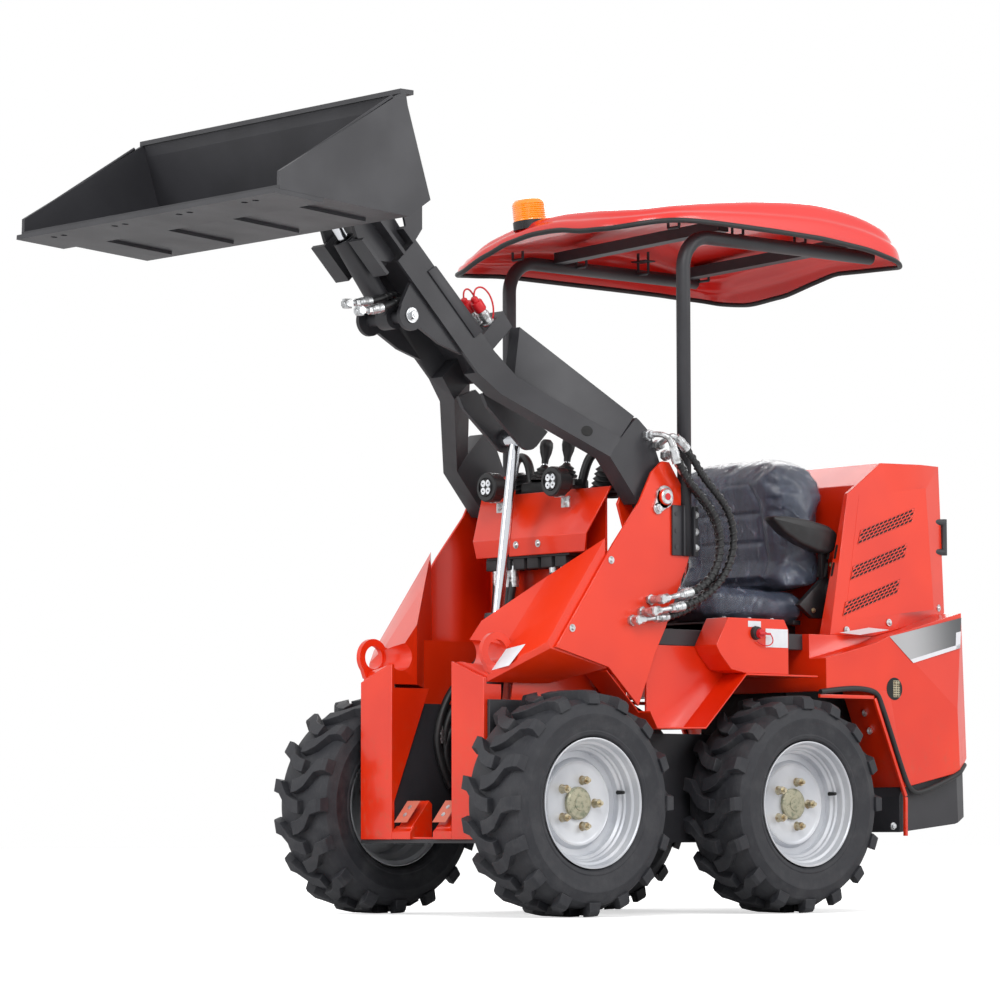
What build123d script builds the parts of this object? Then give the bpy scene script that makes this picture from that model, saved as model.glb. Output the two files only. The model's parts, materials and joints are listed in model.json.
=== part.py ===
from build123d import *
import math
import os

os.makedirs("parts", exist_ok=True)

# Ride-on mini skid steer loader, in millimetres.
# Origin on the ground midway between the four wheels, +X forward, +Y its left side, +Z up.
# The arms stand raised with the bucket level.

# driving dimensions
wheelbase = 780
track = 770
tyre_radius = 292
tyre_width = 211
lug_height = 19
lug_width = 40
lug_count = 13             # on each side of the tread
wheel_face = 330           # outer end of the wheel motors, from the middle
rim_radius = 168
rim_outer_offset = 98      # from the tyre's middle to the rim's outer face
disc_offset = 34           # from the tyre's middle to the wheel disc's outer face
disc_thickness = 12
nut_circle = 62
nut_count = 5
seat_gap = 0.3             # between pieces that rest on each other
frame_wall = 10
frame_inner = 132          # inner walls of the two side boxes, from the middle
frame_outer = 262
belly_bottom = 190
front_face = 560
pillar_inner = 121
pillar_outer = 250
ear_centre = (520, 684)    # tie-down ears, as (x, z)
ear_hole = 31
ear_toe = 3                # degrees that each ear turns in at its front
deck_bottom = 714
deck_top = 757
deck_half = 310
body_half = 400
hood_half = 335
hood_lean = 34             # how far its sides lean in at the top
engine_half = 170
tower_inner = 352
tower_wall = 8
cheek_inner = 266
console_half = 395
fender_half = 398
fender_wall = 5

# arm linkage, as (x, z) points
arm_pivot = (23, 1103)
lift_pin = (361, 300)
lift_eye = (229, 1275)
tilt_pin = (668, 1562)
tilt_eye = (901, 1854)
bucket_pivot = (850, 1915)
pin_radius = 16
pivot_pin_radius = 22
arm_inner = 280
arm_outer = 338
boom_half = 100
boom_wall = 10
lift_bore = 29
lift_barrel_radius = 35
lift_barrel_length = 500
lift_rod_radius = 15
lift_rod_length = 545
tilt_bore = 24
tilt_barrel_radius = 30
tilt_barrel_length = 250
tilt_rod_radius = 14
tilt_rod_length = 264
eye_half = 24              # half width of a cylinder's eyes
lug_inner = 26             # lugs beside an eye
lug_wall = 12
arm_lug_inner = 42         # lugs of the arm, outside the lift barrel

# bucket
bucket_half = 541
bucket_wall = 10
bucket_side_wall = 12
edge_hole_radius = 9

# canopy and seat
canopy_front = 170
canopy_rear = -905
canopy_half = 430
canopy_rim = 1831
canopy_rise = 64
canopy_wall = 8
post_x = -60
post_y = 352
post_radius = 19
post_foot = 950
rail_z = 1812
seat_half = 235


# hoses on the left tower: place along Y, fitting as (x, z), route as (x, z) from the fitting up to the arm
hose_radius = 10
hose_routes = [
    (409, (77, 828), [(-30, 850), (-70, 866), (-108, 898), (-132, 940), (-140, 990), (-128, 1038),
                      (-100, 1078), (-62, 1112), (-22, 1144), (6, 1180), (30, 1218)]),
    (409, (107, 795), [(0, 812), (-48, 826), (-96, 850), (-140, 886), (-172, 930), (-188, 982),
                       (-184, 1036), (-158, 1084), (-118, 1122), (-74, 1158), (-38, 1206), (8, 1248)]),
    (385, (143, 772), [(36, 784), (-14, 796), (-62, 818), (-104, 850), (-136, 892), (-154, 942),
                       (-158, 994), (-142, 1044), (-110, 1084), (-70, 1118), (-34, 1154), (-8, 1194)]),
]


def across(points, low, high):
    """Plate with an XZ outline that stands between two places along Y."""
    return extrude(Plane.XZ.offset(-high) * Polygon(*points, align=None), high - low, dir=(0, -1, 0))


def box(x, y, z):
    """Box between pairs of places along X, Y and Z."""
    size = [b - a for a, b in (x, y, z)]
    return Pos(*[(a + b) / 2 for a, b in (x, y, z)]) * Box(*size)


def disc(point, radius, low, high):
    """Cylinder along Y about an (x, z) point."""
    centre = Pos(point[0], (low + high) / 2, point[1])
    return centre * Rot(90, 0, 0) * Cylinder(radius, high - low)


def tube(start, end, radius, bore=0):
    """Round bar or tube between two points."""
    axis = Vector(*end) - Vector(*start)
    place = Plane(origin=start, z_dir=axis)
    bar = place * Cylinder(radius, axis.length, align=(Align.CENTER, Align.CENTER, Align.MIN))
    if bore:
        bar -= place * Cylinder(bore, axis.length, align=(Align.CENTER, Align.CENTER, Align.MIN))
    return bar


def bridge(start, end):
    """Straight-sided solid between two loops of (x, y, z) corners."""
    loops = [make_face(Polyline(*[Vector(*p) for p in loop], close=True)) for loop in (start, end)]
    return loft(loops, ruled=True)


def sheet(points, thickness):
    """Folded sheet below a line of (x, z) points, as an outline."""
    return list(points) + [(x, z - thickness) for x, z in reversed(points)]


def right(solid):
    """The right-hand twin of a left-hand piece."""
    return mirror(solid, about=Plane.XZ)


def both(solid):
    """A piece and its twin across the middle, as one."""
    return solid + right(solid)


def save(name, shape):
    shape.label = name
    export_step(shape, f"parts/{name}.step")


def save_pair(name, shape):
    save(name + "_left", shape)
    save(name + "_right", right(shape))


def along(start, end, distance):
    """The (x, z) point at a distance from start towards end."""
    length = math.dist(start, end)
    return tuple(a + (b - a) * distance / length for a, b in zip(start, end))


def flat(point, y=0):
    """An (x, z) point as (x, y, z)."""
    return (point[0], y, point[1])


def lug(turn, side):
    """Bent lug from one shoulder of a tyre to just past its middle."""
    path = [(101, 0), (58, 14), (-12, 56)]
    low, high = tyre_radius - 42, tyre_radius

    def station(across_tyre, along_tread):
        shoulder = 6 if across_tyre > 90 else 0
        corners = []
        for radius, half in ((low, lug_width / 2), (high - shoulder, lug_width / 2 - 3)):
            for end in (-1, 1):
                angle = turn + (along_tread + end * half) / tyre_radius
                corners.append((radius * math.cos(angle), side * across_tyre, -radius * math.sin(angle)))
        return [corners[0], corners[1], corners[3], corners[2]]

    stations = [station(*point) for point in path]
    body = None
    for start, end in zip(stations, stations[1:]):
        span = bridge(start, end)
        body = span if body is None else body + span
    return body


def tyre():
    """Tyre about the Y axis at the origin, with a ring of lugs from each shoulder."""
    half = tyre_width / 2
    tread = tyre_radius - lug_height
    profile = Polyline(
        (rim_radius - 6, -half + 16), (tread - 22, -half), (tread, -half + 30),
        (tread, half - 30), (tread - 22, half), (rim_radius - 6, half - 16), close=True)
    body = revolve(Plane.XY * make_face(profile), Axis.Y)
    step = 2 * math.pi / lug_count
    lugs = [lug(number * step, 1) for number in range(lug_count)]
    lugs += [lug((number + 0.5) * step, -1) for number in range(lug_count)]
    return body + lugs


def rim():
    """Rim, disc, hub and nuts about the Y axis, its outer side towards +Y."""
    outer = rim_outer_offset
    inner = -tyre_width / 2 + 20
    barrel = rim_radius - 6.3
    profile = Polyline(
        (barrel - 8, inner), (barrel, inner), (barrel, outer - 6), (rim_radius, outer - 6),
        (rim_radius, outer), (barrel - 14, outer), (barrel - 14, outer - 6),
        (barrel - 22, disc_offset + 20), (barrel - 40, disc_offset), (0, disc_offset),
        (0, disc_offset - disc_thickness), (barrel - 36, disc_offset - disc_thickness),
        (barrel - 8, disc_offset + 8), close=True)
    body = revolve(Plane.XY * make_face(profile), Axis.Y)
    hub_end = wheel_face - track / 2 + seat_gap
    body += disc((0, 0), 50, hub_end, disc_offset - disc_thickness)
    body += disc((0, 0), 34, disc_offset, disc_offset + 22)
    for number in range(nut_count):
        turn = math.radians(90 + number * 360 / nut_count)
        nut = Pos(nut_circle * math.cos(turn), disc_offset + 8, nut_circle * math.sin(turn))
        body += nut * Rot(90, 0, 0) * extrude(RegularPolygon(14, 6), 8, both=True)
    return body


def wheels():
    places = {"front": wheelbase / 2, "rear": -wheelbase / 2}
    tyre_body, rim_body = tyre(), rim()
    for end, x in places.items():
        place = Pos(x, track / 2, tyre_radius)
        save_pair(f"tyre_{end}", place * tyre_body)
        save_pair(f"rim_{end}", place * rim_body)


def main_frame():
    """Belly plate with two side boxes, the wheel motors and the lift cylinder's lugs."""
    front = front_face - frame_wall
    rear = -840
    belly_top = belly_bottom + frame_wall
    body = box((rear, front), (-frame_outer, frame_outer), (belly_bottom, belly_top))
    wall = [(front, belly_top), (front, 560), (120, 560), (120, 480), (-545, 480),
            (-545, 340), (rear, 340), (rear, belly_top)]
    for low in (frame_inner, frame_outer - frame_wall):
        body += both(across(wall, low, low + frame_wall))
    for x in (-540, -60, 100):
        body += both(box((x, x + frame_wall), (frame_inner, frame_outer), (belly_top, 470)))
    body += box((-70, -60), (-frame_inner, frame_inner), (belly_top, 470))
    for x in (wheelbase / 2, -wheelbase / 2):
        motor = disc((x, tyre_radius), 80, frame_inner + frame_wall, frame_outer + 20)
        motor += disc((x, tyre_radius), 62, frame_outer, wheel_face)
        body += both(motor)
    x, z = lift_pin
    lug = across([(x - 60, belly_top), (x + 60, belly_top), (x + 30, z), (x - 30, z)],
                 lug_inner, lug_inner + lug_wall)
    lug += disc(lift_pin, 32, lug_inner, lug_inner + lug_wall)
    body += both(lug)
    body += disc(lift_pin, pin_radius, -lug_inner - lug_wall - 6, lug_inner + lug_wall + 6)
    return body


def front_pillar():
    """Front post: a face plate with an outer return and an inner gusset."""
    low, high_in, high_out, wall = 200, 662, 617, 10
    back = front_face - wall
    face = Plane.YZ.offset(back) * Polygon(
        (pillar_inner, low), (pillar_outer, low), (pillar_outer, high_out),
        (pillar_inner, high_in), align=None)
    body = extrude(face, wall)
    body += across([(back, low), (back, 600), (500, 600), (500, low + 60)],
                   pillar_outer - 8, pillar_outer)
    body += across([(back, 300), (back, 600), (430, 600)], pillar_inner, pillar_inner + 8)
    return body


def front_crossmember():
    """Bar between the posts, notched for the tilt cylinder, with two stop pads."""
    half = pillar_inner - seat_gap
    back, front = front_face - 16, front_face
    floor = belly_bottom + frame_wall + seat_gap
    body = across([(back, floor), (front, floor), (front, 220), (back, 236)], -half, half)
    body -= box((430, front), (-46, 46), (floor, 265))
    body += box((430, front - 10), (-half, half), (floor, floor + 6))
    pad = across([(552, 232), (546, 238), (491, 302), (480, 293), (480, 203), (550, 203)], 50, 105)
    return body + both(pad)


def slope_cover():
    """Sloped box over the front wheel, with its tie-down ear."""
    sections = [
        (131, [(549.7, 610), (549.7, 667), (464, 770), (464, 610)]),
        (pillar_outer, [(549.7, 605), (549.7, 624), (337, 887), (337, 605)]),
        (tower_inner, [(420, 692), (431, 708), (228, 985), (223, 645)]),
    ]
    loops = [[(x, y, z) for x, z in outline] for y, outline in sections]
    body = bridge(loops[0], loops[1]) + bridge(loops[1], loops[2])
    body -= disc(ear_centre, ear_hole + 7, pillar_inner, tower_inner)
    ear = disc((0, 0), 50, -7, 7) + across([(-50, 0), (50, 0), (28, -56), (-40, -72)], -7, 7)
    ear -= disc((0, 0), ear_hole, -8, 8)
    x, z = ear_centre
    return body + Pos(x, pillar_outer + 1, z) * Rot(0, 0, -ear_toe) * ear


def arm_tower():
    """Tower plates that carry one arm's pivot, with a web behind and the pivot pin."""
    outer = [(408, 695), (205, 971), (110, 1086), (66, 1167), (28, 1198), (2, 1197),
             (-28, 1156), (-103, 1062), (-67, 939), (-30, 863), (17, 758), (53, 694),
             (89, 611), (117, 548), (223, 647)]
    inner = [(110, 1086), (66, 1167), (28, 1198), (2, 1197), (-28, 1156), (-103, 1062),
             (-67, 939), (-30, 863), (17, 758), (53, 694), (80, 694), (80, 1000)]
    web = [(-103, 1062), (-67, 939), (-30, 863), (17, 758), (53, 694),
           (63, 694), (27, 758), (-20, 863), (-57, 939), (-93, 1062)]
    body = across(outer, tower_inner, tower_inner + tower_wall)
    body += across(inner, cheek_inner, cheek_inner + tower_wall)
    body += across(web, cheek_inner, tower_inner + tower_wall)
    body += across([(53, 694), (63, 694), (97, 611), (89, 611)], cheek_inner, tower_inner)
    notch = post_x + post_radius + seat_gap
    body -= box((-120, notch), (post_y - post_radius - seat_gap, 380), (post_foot - seat_gap, 1200))
    body += disc(arm_pivot, pivot_pin_radius, cheek_inner, tower_inner + tower_wall + 14)
    return body


def mid_fender():
    """Folded step between the wheels, with the inner wall above it."""
    step = [(110, 535), (85, 493), (-92, 495), (-244, 641), (-515, 641)]
    front = [(222, 641), (117, 543), (110, 535)]
    body = across(sheet(step, fender_wall), frame_outer + seat_gap, fender_half)
    body += across(sheet(front, fender_wall), frame_outer + seat_gap, tower_inner - seat_gap)
    wall = [(40, deck_bottom - seat_gap), (40, 492), (-92, 494),
            (-244, 640), (-300, 640), (-300, deck_bottom - seat_gap)]
    return body + across(wall, 300, 308)


def side_console():
    """Console beside the seat, standing on the step's flange."""
    outline = [(-134, deck_bottom), (-179, 789), (-389, 789), (-405, 763), (-405, 641 + seat_gap),
               (-245, 641 + seat_gap), (-190, 650), (-150, 690)]
    return across(outline, deck_half + seat_gap, console_half)


def dash_cover():
    """Folded cover in front of the operator's controls, with the bulkhead below."""
    sections = [(179, 219, 960), (183, 229, 1008), (122, 261, 1134)]
    wall = 6
    body = None
    for (x1, y1, z1), (x2, y2, z2) in zip(sections, sections[1:]):
        low = [(x1, -y1, z1), (x1, y1, z1), (x1 - wall, y1, z1), (x1 - wall, -y1, z1)]
        high = [(x2, -y2, z2), (x2, y2, z2), (x2 - wall, y2, z2), (x2 - wall, -y2, z2)]
        span = bridge(low, high)
        body = span if body is None else body + span
    body += box((90, 179), (-213, 213), (960, 966))
    body += box((90, 96), (-213, 213), (deck_top + seat_gap, 1120))
    body += box((90, 122), (-213, 213), (1114, 1120))
    return body


def control_levers():
    """Two levers in a cowl behind the dash cover."""
    body = box((60, 115), (-110, 110), (1120 + seat_gap, 1165))
    for y in (-45, 45):
        body += tube((90, y, 1160), (80, y, 1236), 7)
        body += Pos(80, y, 1246) * chamfer(Cylinder(19, 40).edges().filter_by(GeomType.CIRCLE), 9)
    return body


def work_lamp():
    """Round lamp with its bracket on the dash cover's upper corner."""
    centre = Pos(200, 131, 1149) * Rot(0, 90, 0)
    body = centre * Cylinder(40, 34)
    body += centre * Pos(0, 0, -25) * Cylinder(28, 20)
    body += box((104, 182), (119, 143), (1134 + seat_gap, 1142))
    return body


def swept(points, radius):
    """Eight-sided hose along straight runs with a tangent arc at each corner."""
    corners = [Vector(*point) for point in points]
    bends = []
    for before, corner, after in zip(corners, corners[1:], corners[2:]):
        turn = math.radians((corner - before).get_angle(after - corner))
        run = min((corner - before).length, (after - corner).length)
        bends.append(round(0.45 * run / math.tan(turn / 2), 1))
    print("hose radii", min(bends), "to", max(bends))
    path = FilletPolyline(*corners, radius=bends)
    return sweep(Plane(origin=path @ 0, z_dir=path % 0) * RegularPolygon(radius, 8), path=path)


def tower_hoses():
    """Three hoses to the arm, outside the left tower plate, with their fittings on it."""
    plate = tower_inner + tower_wall
    hoses = []
    for y, fitting, route in hose_routes:
        points = [flat(point, y) for point in route]
        elbow = disc(fitting, 13, plate + seat_gap, y + 12)
        elbow += tube(flat(fitting, y), points[0], 8)
        ferrule_foot = flat(along(route[0], fitting, 38), y)
        elbow += tube(ferrule_foot, points[0], hose_radius + 2)
        hoses.append(elbow + swept(points, hose_radius))
    return Compound(children=hoses)


def seat_base():
    """Operator's deck and the seat's mounting box."""
    body = box((-545 + seat_gap, 10), (-deck_half, deck_half), (deck_bottom, deck_top))
    body += box((10, 118), (-cheek_inner + 4, cheek_inner - 4), (deck_bottom, deck_top))
    return body + box((-544, -300), (-190, 190), (deck_top, 789))


def seat_cushion():
    outline = [(-270, 800), (-262, 840), (-290, 884), (-540, 868), (-690, 880), (-700, 800),
               (-690, 789.3), (-290, 789.3)]
    return across(outline, -seat_half, seat_half)


def seat_back():
    outline = [(-556, 869.6), (-690, 880.3), (-730, 930), (-736, 1200), (-700, 1262), (-600, 1268),
               (-543, 1240), (-560, 1120), (-590, 960)]
    return across(outline, -seat_half, seat_half)


def armrest():
    """Armrest hinged on the seat back's side."""
    low, high = seat_half + seat_gap, seat_half + 50
    body = across([(-430, 1040), (-430, 1082), (-600, 1082), (-700, 1070), (-716, 1046),
                   (-705, 995), (-660, 1000), (-640, 1040)], low, high)
    return body + disc((-680, 1030), 30, low, high)


def beyond(a, b, c):
    """Large block outside the plane through three points, whose +Y side it fills."""
    a, b, c = (Vector(*point) for point in (a, b, c))
    normal = (b - a).cross(c - a)
    if normal.Y < 0:
        normal = -normal
    return Plane(origin=a, z_dir=normal) * Box(3000, 3000, 300, align=(Align.CENTER, Align.CENTER, Align.MIN))


def rear_body():
    """Painted body round the engine, tapering in behind its crease, open below."""
    outline = [(-545, 600), (-545, 690), (-740, 736), (-795, 757), (-1122, 832), (-1137, 422),
               (-1075, 383), (-855, 340), (-739, 605)]
    body = across(outline, -body_half, body_half)
    body += box((-795, -545), (-hood_half, hood_half), (650, deck_top))
    upper, crease, lower = (-795, body_half, 757), (-1067, body_half, 559), (-1075, body_half, 383)
    rear_top = (-1122, body_half - 34, 832)
    for plane in ((upper, crease, rear_top), (crease, lower, rear_top)):
        body -= both(beyond(*plane))
    cavity = across([(-600, 500), (-600, 700), (-790, 735), (-1095, 800), (-1110, 440),
                     (-1040, 300), (-600, 300)], -270, 270)
    body -= cavity
    body -= both(disc((-811, 612), 28, body_half - 80, body_half + 10))
    return body


def rear_skirt():
    """Dark skirt and arch flange below the rear body."""
    outline = [(-845, 313), (-845, 216), (-1069, 239), (-1134, 258), (-1134, 419.8), (-1075, 382.7),
               (-855, 339.7)]
    body = across(outline, -385, 385)
    body -= both(beyond((-1067, 385, 559), (-1075, 385, 383), (-1122, 351, 832)))
    return body - across([(-860, 200), (-860, 350), (-1090, 400), (-1090, 200)], -270, 270)


def engine_hood():
    """Hood that wraps round the seat back, tapering in behind its crease."""
    outline = [(-627, 757.3), (-731, 1154), (-870, 1247), (-1030, 1251), (-1099, 1253),
               (-1128, 838), (-1122, 832.5), (-795, 757.5)]
    body = across(outline, -hood_half, hood_half)
    body -= across([(-600, 700), (-600, 1300), (-770, 1300), (-770, 700)], -292, 292)
    foot, front = (-898, hood_half, 796), (-627, hood_half, 757)
    crease_top = (-1030, hood_half - hood_lean, 1251)
    for plane in ((foot, front, crease_top), (foot, crease_top, (-1128, hood_half - 62, 838))):
        body -= both(beyond(*plane))
    for number in range(3):
        x, z = -787 - 32 * number, 858 + 90 * number
        window = across([(x, z), (x - 17, z + 54), (x - 168, z + 98), (x - 151, z + 44)],
                        hood_half - hood_lean - 12, hood_half)
        body -= both(window)
    body -= across([(-790, 700), (-790, 1150), (-870, 1235), (-1085, 1238), (-1110, 845),
                    (-1110, 820)], -255, 255)
    return body


def hood_handle():
    """Grab handle on the back of the hood's left side."""
    y = 268
    body = tube((-1117.5, y, 1010), (-1160, y, 1010), 9)
    body += tube((-1111.5, y, 1095), (-1160, y, 1095), 9)
    return body + tube((-1160, y, 1001), (-1160, y, 1104), 9)


def engine_block():
    return box((-1030, -620), (-engine_half, engine_half), (380, 690))


def engine_mounts():
    """Two bearers that carry the engine on the frame."""
    return both(box((-835, -630), (frame_inner, frame_inner + 30), (340 + seat_gap, 380 - seat_gap)))


def canopy():
    """Moulded roof, crowned along its length, hollow below."""
    outline = [(canopy_front, canopy_rim), (canopy_front - 6, canopy_rim + 26), (150, 1870), (60, 1880),
               (-200, canopy_rim + canopy_rise), (-560, canopy_rim + canopy_rise), (-800, 1880),
               (canopy_rear + 6, canopy_rim + 22), (canopy_rear, canopy_rim)]
    body = across(outline, -canopy_half, canopy_half)
    inner = [(canopy_front - 90, canopy_rim), (40, 1868), (-200, canopy_rim + canopy_rise - canopy_wall),
             (-560, canopy_rim + canopy_rise - canopy_wall), (-790, 1868), (canopy_rear + 80, canopy_rim)]
    return body - across(inner, -300, 300)


def canopy_trim():
    """Rubber edge under the roof's rim."""
    low, high = canopy_rim - 14, canopy_rim - seat_gap
    body = box((canopy_rear, canopy_front), (-canopy_half, canopy_half), (low, high))
    return body - box((canopy_rear + 12, canopy_front - 12), (-canopy_half + 12, canopy_half - 12),
                      (low, high))


def canopy_post():
    """Post with its foot on the tower and its rail under the roof."""
    bend = 90
    top = canopy_rim - seat_gap - post_radius
    line = Line((post_x, post_foot), (post_x, top - bend))
    line += CenterArc((post_x - bend, top - bend), bend, 0, 90)
    line += Line((post_x - bend, top), (-780, top))
    path = Plane.XZ.offset(-post_y) * line
    return sweep(Plane((post_x, post_y, post_foot)) * Circle(post_radius), path=path)


def canopy_rails():
    """Cross rails between the posts' rails."""
    top = canopy_rim - seat_gap - post_radius
    half = post_y - post_radius - seat_gap
    body = None
    for x in (-230, -740):
        bar = box((x - 19, x + 19), (-half, half), (top - 15, top + 15))
        body = bar if body is None else body + bar
    return body


def beacon():
    upright = (Align.CENTER, Align.CENTER, Align.MIN)
    base = Pos(105, -60, 1860) * Cylinder(52, 40, align=upright) - Pos(0, 0, seat_gap) * canopy()
    lens = Pos(105, -60, 1900) * Cylinder(46, 58, align=upright)
    lens = chamfer(lens.edges().filter_by(GeomType.CIRCLE).sort_by(Axis.Z)[-1], 14)
    return base + lens


def st(s, t):
    """The (x, z) point at a distance along the boom and a height above the 45-degree line."""
    root2 = math.sqrt(2)
    return ((s - t) / root2, (s + t) / root2)


boom_low, boom_high = 691, 776
boom_back, boom_end = 1326, 1712
fork_back_low, fork_back_high = (195, 1202), (156, 1254)
knee_low, knee_high = (389, 1371), (334, 1422)


def lift_arm():
    """Boom of inverted channel that forks to two arms, one each side."""
    side = [st(boom_back, boom_low), st(boom_back, boom_high), st(boom_end, boom_high),
            st(boom_end, boom_low)]
    cover = [st(boom_back, boom_high - boom_wall), st(boom_back, boom_high),
             st(boom_end, boom_high), st(boom_end, boom_high - boom_wall)]
    body = across(cover, -boom_half, boom_half)
    body += both(across(side, boom_half - boom_wall, boom_half))
    low, high = st(boom_back, boom_low), st(boom_back, boom_high)

    def loop(bottom, top, inner, outer):
        return [flat(bottom, inner), flat(bottom, outer), flat(top, outer), flat(top, inner)]

    front = loop(low, high, boom_half - 56, boom_half)
    knee = loop(knee_low, knee_high, 65, 125)
    back = loop(fork_back_low, fork_back_high, arm_inner, arm_outer)
    end = across([fork_back_low, (93, 1084), (63, 1084), (-17, 1124), (52, 1275), (90, 1305),
                  (100, 1311), fork_back_high], arm_inner, arm_outer)
    end += disc(arm_pivot, 45, arm_inner, arm_outer)
    end += disc(arm_pivot, 34, arm_outer, tower_inner - 0.5)
    end += disc(arm_pivot, 34, cheek_inner + tower_wall + 0.5, arm_inner)
    half = bridge(front, knee) + bridge(knee, back) + end
    half -= disc(arm_pivot, pivot_pin_radius + 0.05, cheek_inner, tower_inner)
    body += both(half)
    web_front, web_back = st(boom_back, boom_high - boom_wall), along(knee_high, knee_low, boom_wall)
    web = bridge([flat(high, -60), flat(high, 60), flat(web_front, 60), flat(web_front, -60)],
                 [flat(knee_high, -66), flat(knee_high, 66), flat(web_back, 66), flat(web_back, -66)])
    body += web
    lug = across([(392, 1378), (375, 1345), (252, 1244), (202, 1247), (160, 1290), (250, 1338),
                  (334, 1400)], arm_lug_inner, arm_lug_inner + lug_wall)
    lug += disc(lift_eye, 38, arm_lug_inner, arm_lug_inner + lug_wall)
    lug += disc(lift_eye, 24, lug_inner, arm_lug_inner)
    body += both(lug)
    plate = across([st(1390, boom_low), (572, 1495), (640, 1532), (700, 1540), (702, 1590),
                    st(1640, boom_low)], 78, 90)
    plate += disc(tilt_pin, 40, 78, 90)
    body += both(plate)
    body += disc(tilt_pin, pin_radius, -90, 90)
    return body


def arm_head():
    """Head at the boom's end: cheeks out to the bucket pivot and two stop boxes."""
    start = st(boom_end + seat_gap, boom_high)
    cheek = [start, st(boom_end + seat_gap, boom_low), st(1760, 640), st(1831, 650),
             (885, 1890), (860, 1956), (825, 1950)]
    body = both(across(cheek, 58, 70))
    body += both(disc(bucket_pivot, 42, 58, 70))
    stop = [st(boom_end + seat_gap, 632), st(boom_end + seat_gap, 724), st(1831, 724), st(1831, 632)]
    hollow = [st(boom_end - 1, 642), st(boom_end - 1, 714), st(1840, 714), st(1840, 642)]
    body += both(across(stop, 50, 105) - across(hollow, 60, 106))
    bar = [start, st(boom_end + seat_gap, boom_high - 12), st(1760, boom_high - 12), st(1760, boom_high)]
    body += across(bar, -boom_half, boom_half)
    guard = [st(boom_end + seat_gap, boom_high), st(1760, boom_high), (705, 1828), (640, 1850), (640, 1790)]
    body += both(across(guard, boom_half - 8, boom_half))
    return body + both(disc(bucket_pivot, pin_radius, 58, 96))


def hose_cover():
    """Cover plate over the hose channel on the left arm, with the hump at the knee."""
    low = boom_high + seat_gap
    body = across([st(1332, low), st(1330, 873), st(1382, 877), st(1382, low)], 10, 96)
    x1, z1 = knee_high
    x2, z2 = fork_back_high
    lift = 0.45
    knee = [(x1 - 4, 70, z1 + lift), (x1 - 4, 110, z1 + lift), (310, 110, 1557), (310, 70, 1557)]
    back = [(x2, 284, z2 + lift), (x2, 334, z2 + lift), (104, 334, 1314 + lift), (104, 284, 1314 + lift)]
    return body + bridge(knee, back)


def quick_couplers():
    """Pair of capped hose couplers on the hump."""
    body = None
    for y in (32, 74):
        start, end = st(1382 + seat_gap, 835), st(1432, 835)
        plug = tube(flat(start, y), flat(end, y), 13)
        body = plug if body is None else body + plug
    return body


def barrel(pin, eye, radius, bore, length):
    """Cylinder barrel with an eye at its pin and an open gland end."""
    start, floor_end = along(pin, eye, 38), along(pin, eye, 60)
    end = along(pin, eye, length)
    body = tube(flat(start), flat(end), radius) - tube(flat(floor_end), flat(end), bore)
    body += disc(pin, 30, -eye_half, eye_half) + tube(flat(pin), flat(start), eye_half - 2)
    return body - disc(pin, pin_radius + 0.3, -eye_half, eye_half)


def rod(pin, eye, radius, bore, length):
    """Cylinder rod with an eye at one end and its piston at the other."""
    body = tube(flat(along(eye, pin, 20)), flat(along(eye, pin, length)), radius)
    body += tube(flat(along(eye, pin, length - 30)), flat(along(eye, pin, length)), bore)
    return body + disc(eye, 26, -eye_half + 2, eye_half - 2)


lip, lip_top = (1461, 1765), (1460, 1809)
bucket_top, back_top = (1066, 2049), (1059, 2012)
back_low, heel = (985, 1783), (1056, 1735)


def bucket():
    """Open bucket: a folded shell between two side plates, with a rail along its top."""
    outer = [lip, heel, back_low, back_top, bucket_top]
    inner = [(1078, 2047), (1070, 2010), (997, 1787), (1060, 1745.5), (1461, 1775)]
    half = bucket_half
    body = across(outer + inner, -half, half)
    side = [lip, lip_top, bucket_top, back_top, back_low, heel]
    body += both(across(side, half - bucket_side_wall, half))
    return body + box((1040, 1082), (-half, half), (2040, 2052))


def cutting_edge():
    """Edge plate under the lip with four wear strips running back."""
    slope = math.atan2(lip[1] - heel[1], lip[0] - heel[0])
    place = Plane(origin=(lip[0], 0, lip[1] - seat_gap), x_dir=(math.cos(slope), 0, math.sin(slope)),
                  z_dir=(-math.sin(slope), 0, math.cos(slope)))
    top = (Align.CENTER, Align.CENTER, Align.MAX)
    body = Pos(-60, 0, 0) * Box(150, 2 * bucket_half, 12, align=top)
    for y in (-400, -135, 135, 400):
        body += Pos(-235, y, 0) * Box(250, 60, 8, align=top)
        for shift in (-22, 22):
            body -= Pos(-20, y + shift, 0) * Cylinder(edge_hole_radius, 40)
    return place * body


def behind(distance, depth):
    """The (x, z) point up the bucket's back from its low corner, and behind it."""
    x, z = along(back_low, back_top, distance)
    length = math.dist(back_low, back_top)
    return (x - depth * (back_top[1] - back_low[1]) / length, z + depth * (back_top[0] - back_low[0]) / length)


def coupler():
    """Attachment frame behind the bucket, hung on the bucket pivot."""
    plate = 14
    back = [behind(8, seat_gap), behind(225, seat_gap), behind(225, plate), behind(8, plate)]
    body = across(back, -220, 220)
    ear = [(820, 1945), (820, 1890), (850, 1872), behind(12, plate - 1), behind(222, plate - 1), (870, 1958)]
    body += both(across(ear, 76, 88))
    body += both(disc(bucket_pivot, 42, 76, 88))
    body -= both(disc(bucket_pivot, pin_radius + 0.3, 70, 90))
    x, z = tilt_eye
    lug = [(x - 6, z - 28), behind(20, plate - 1), behind(110, plate - 1), (x - 4, z + 29)]
    body += both(across(lug, lug_inner, lug_inner + lug_wall))
    body += both(disc(tilt_eye, 30, lug_inner, lug_inner + lug_wall))
    return body


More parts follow.
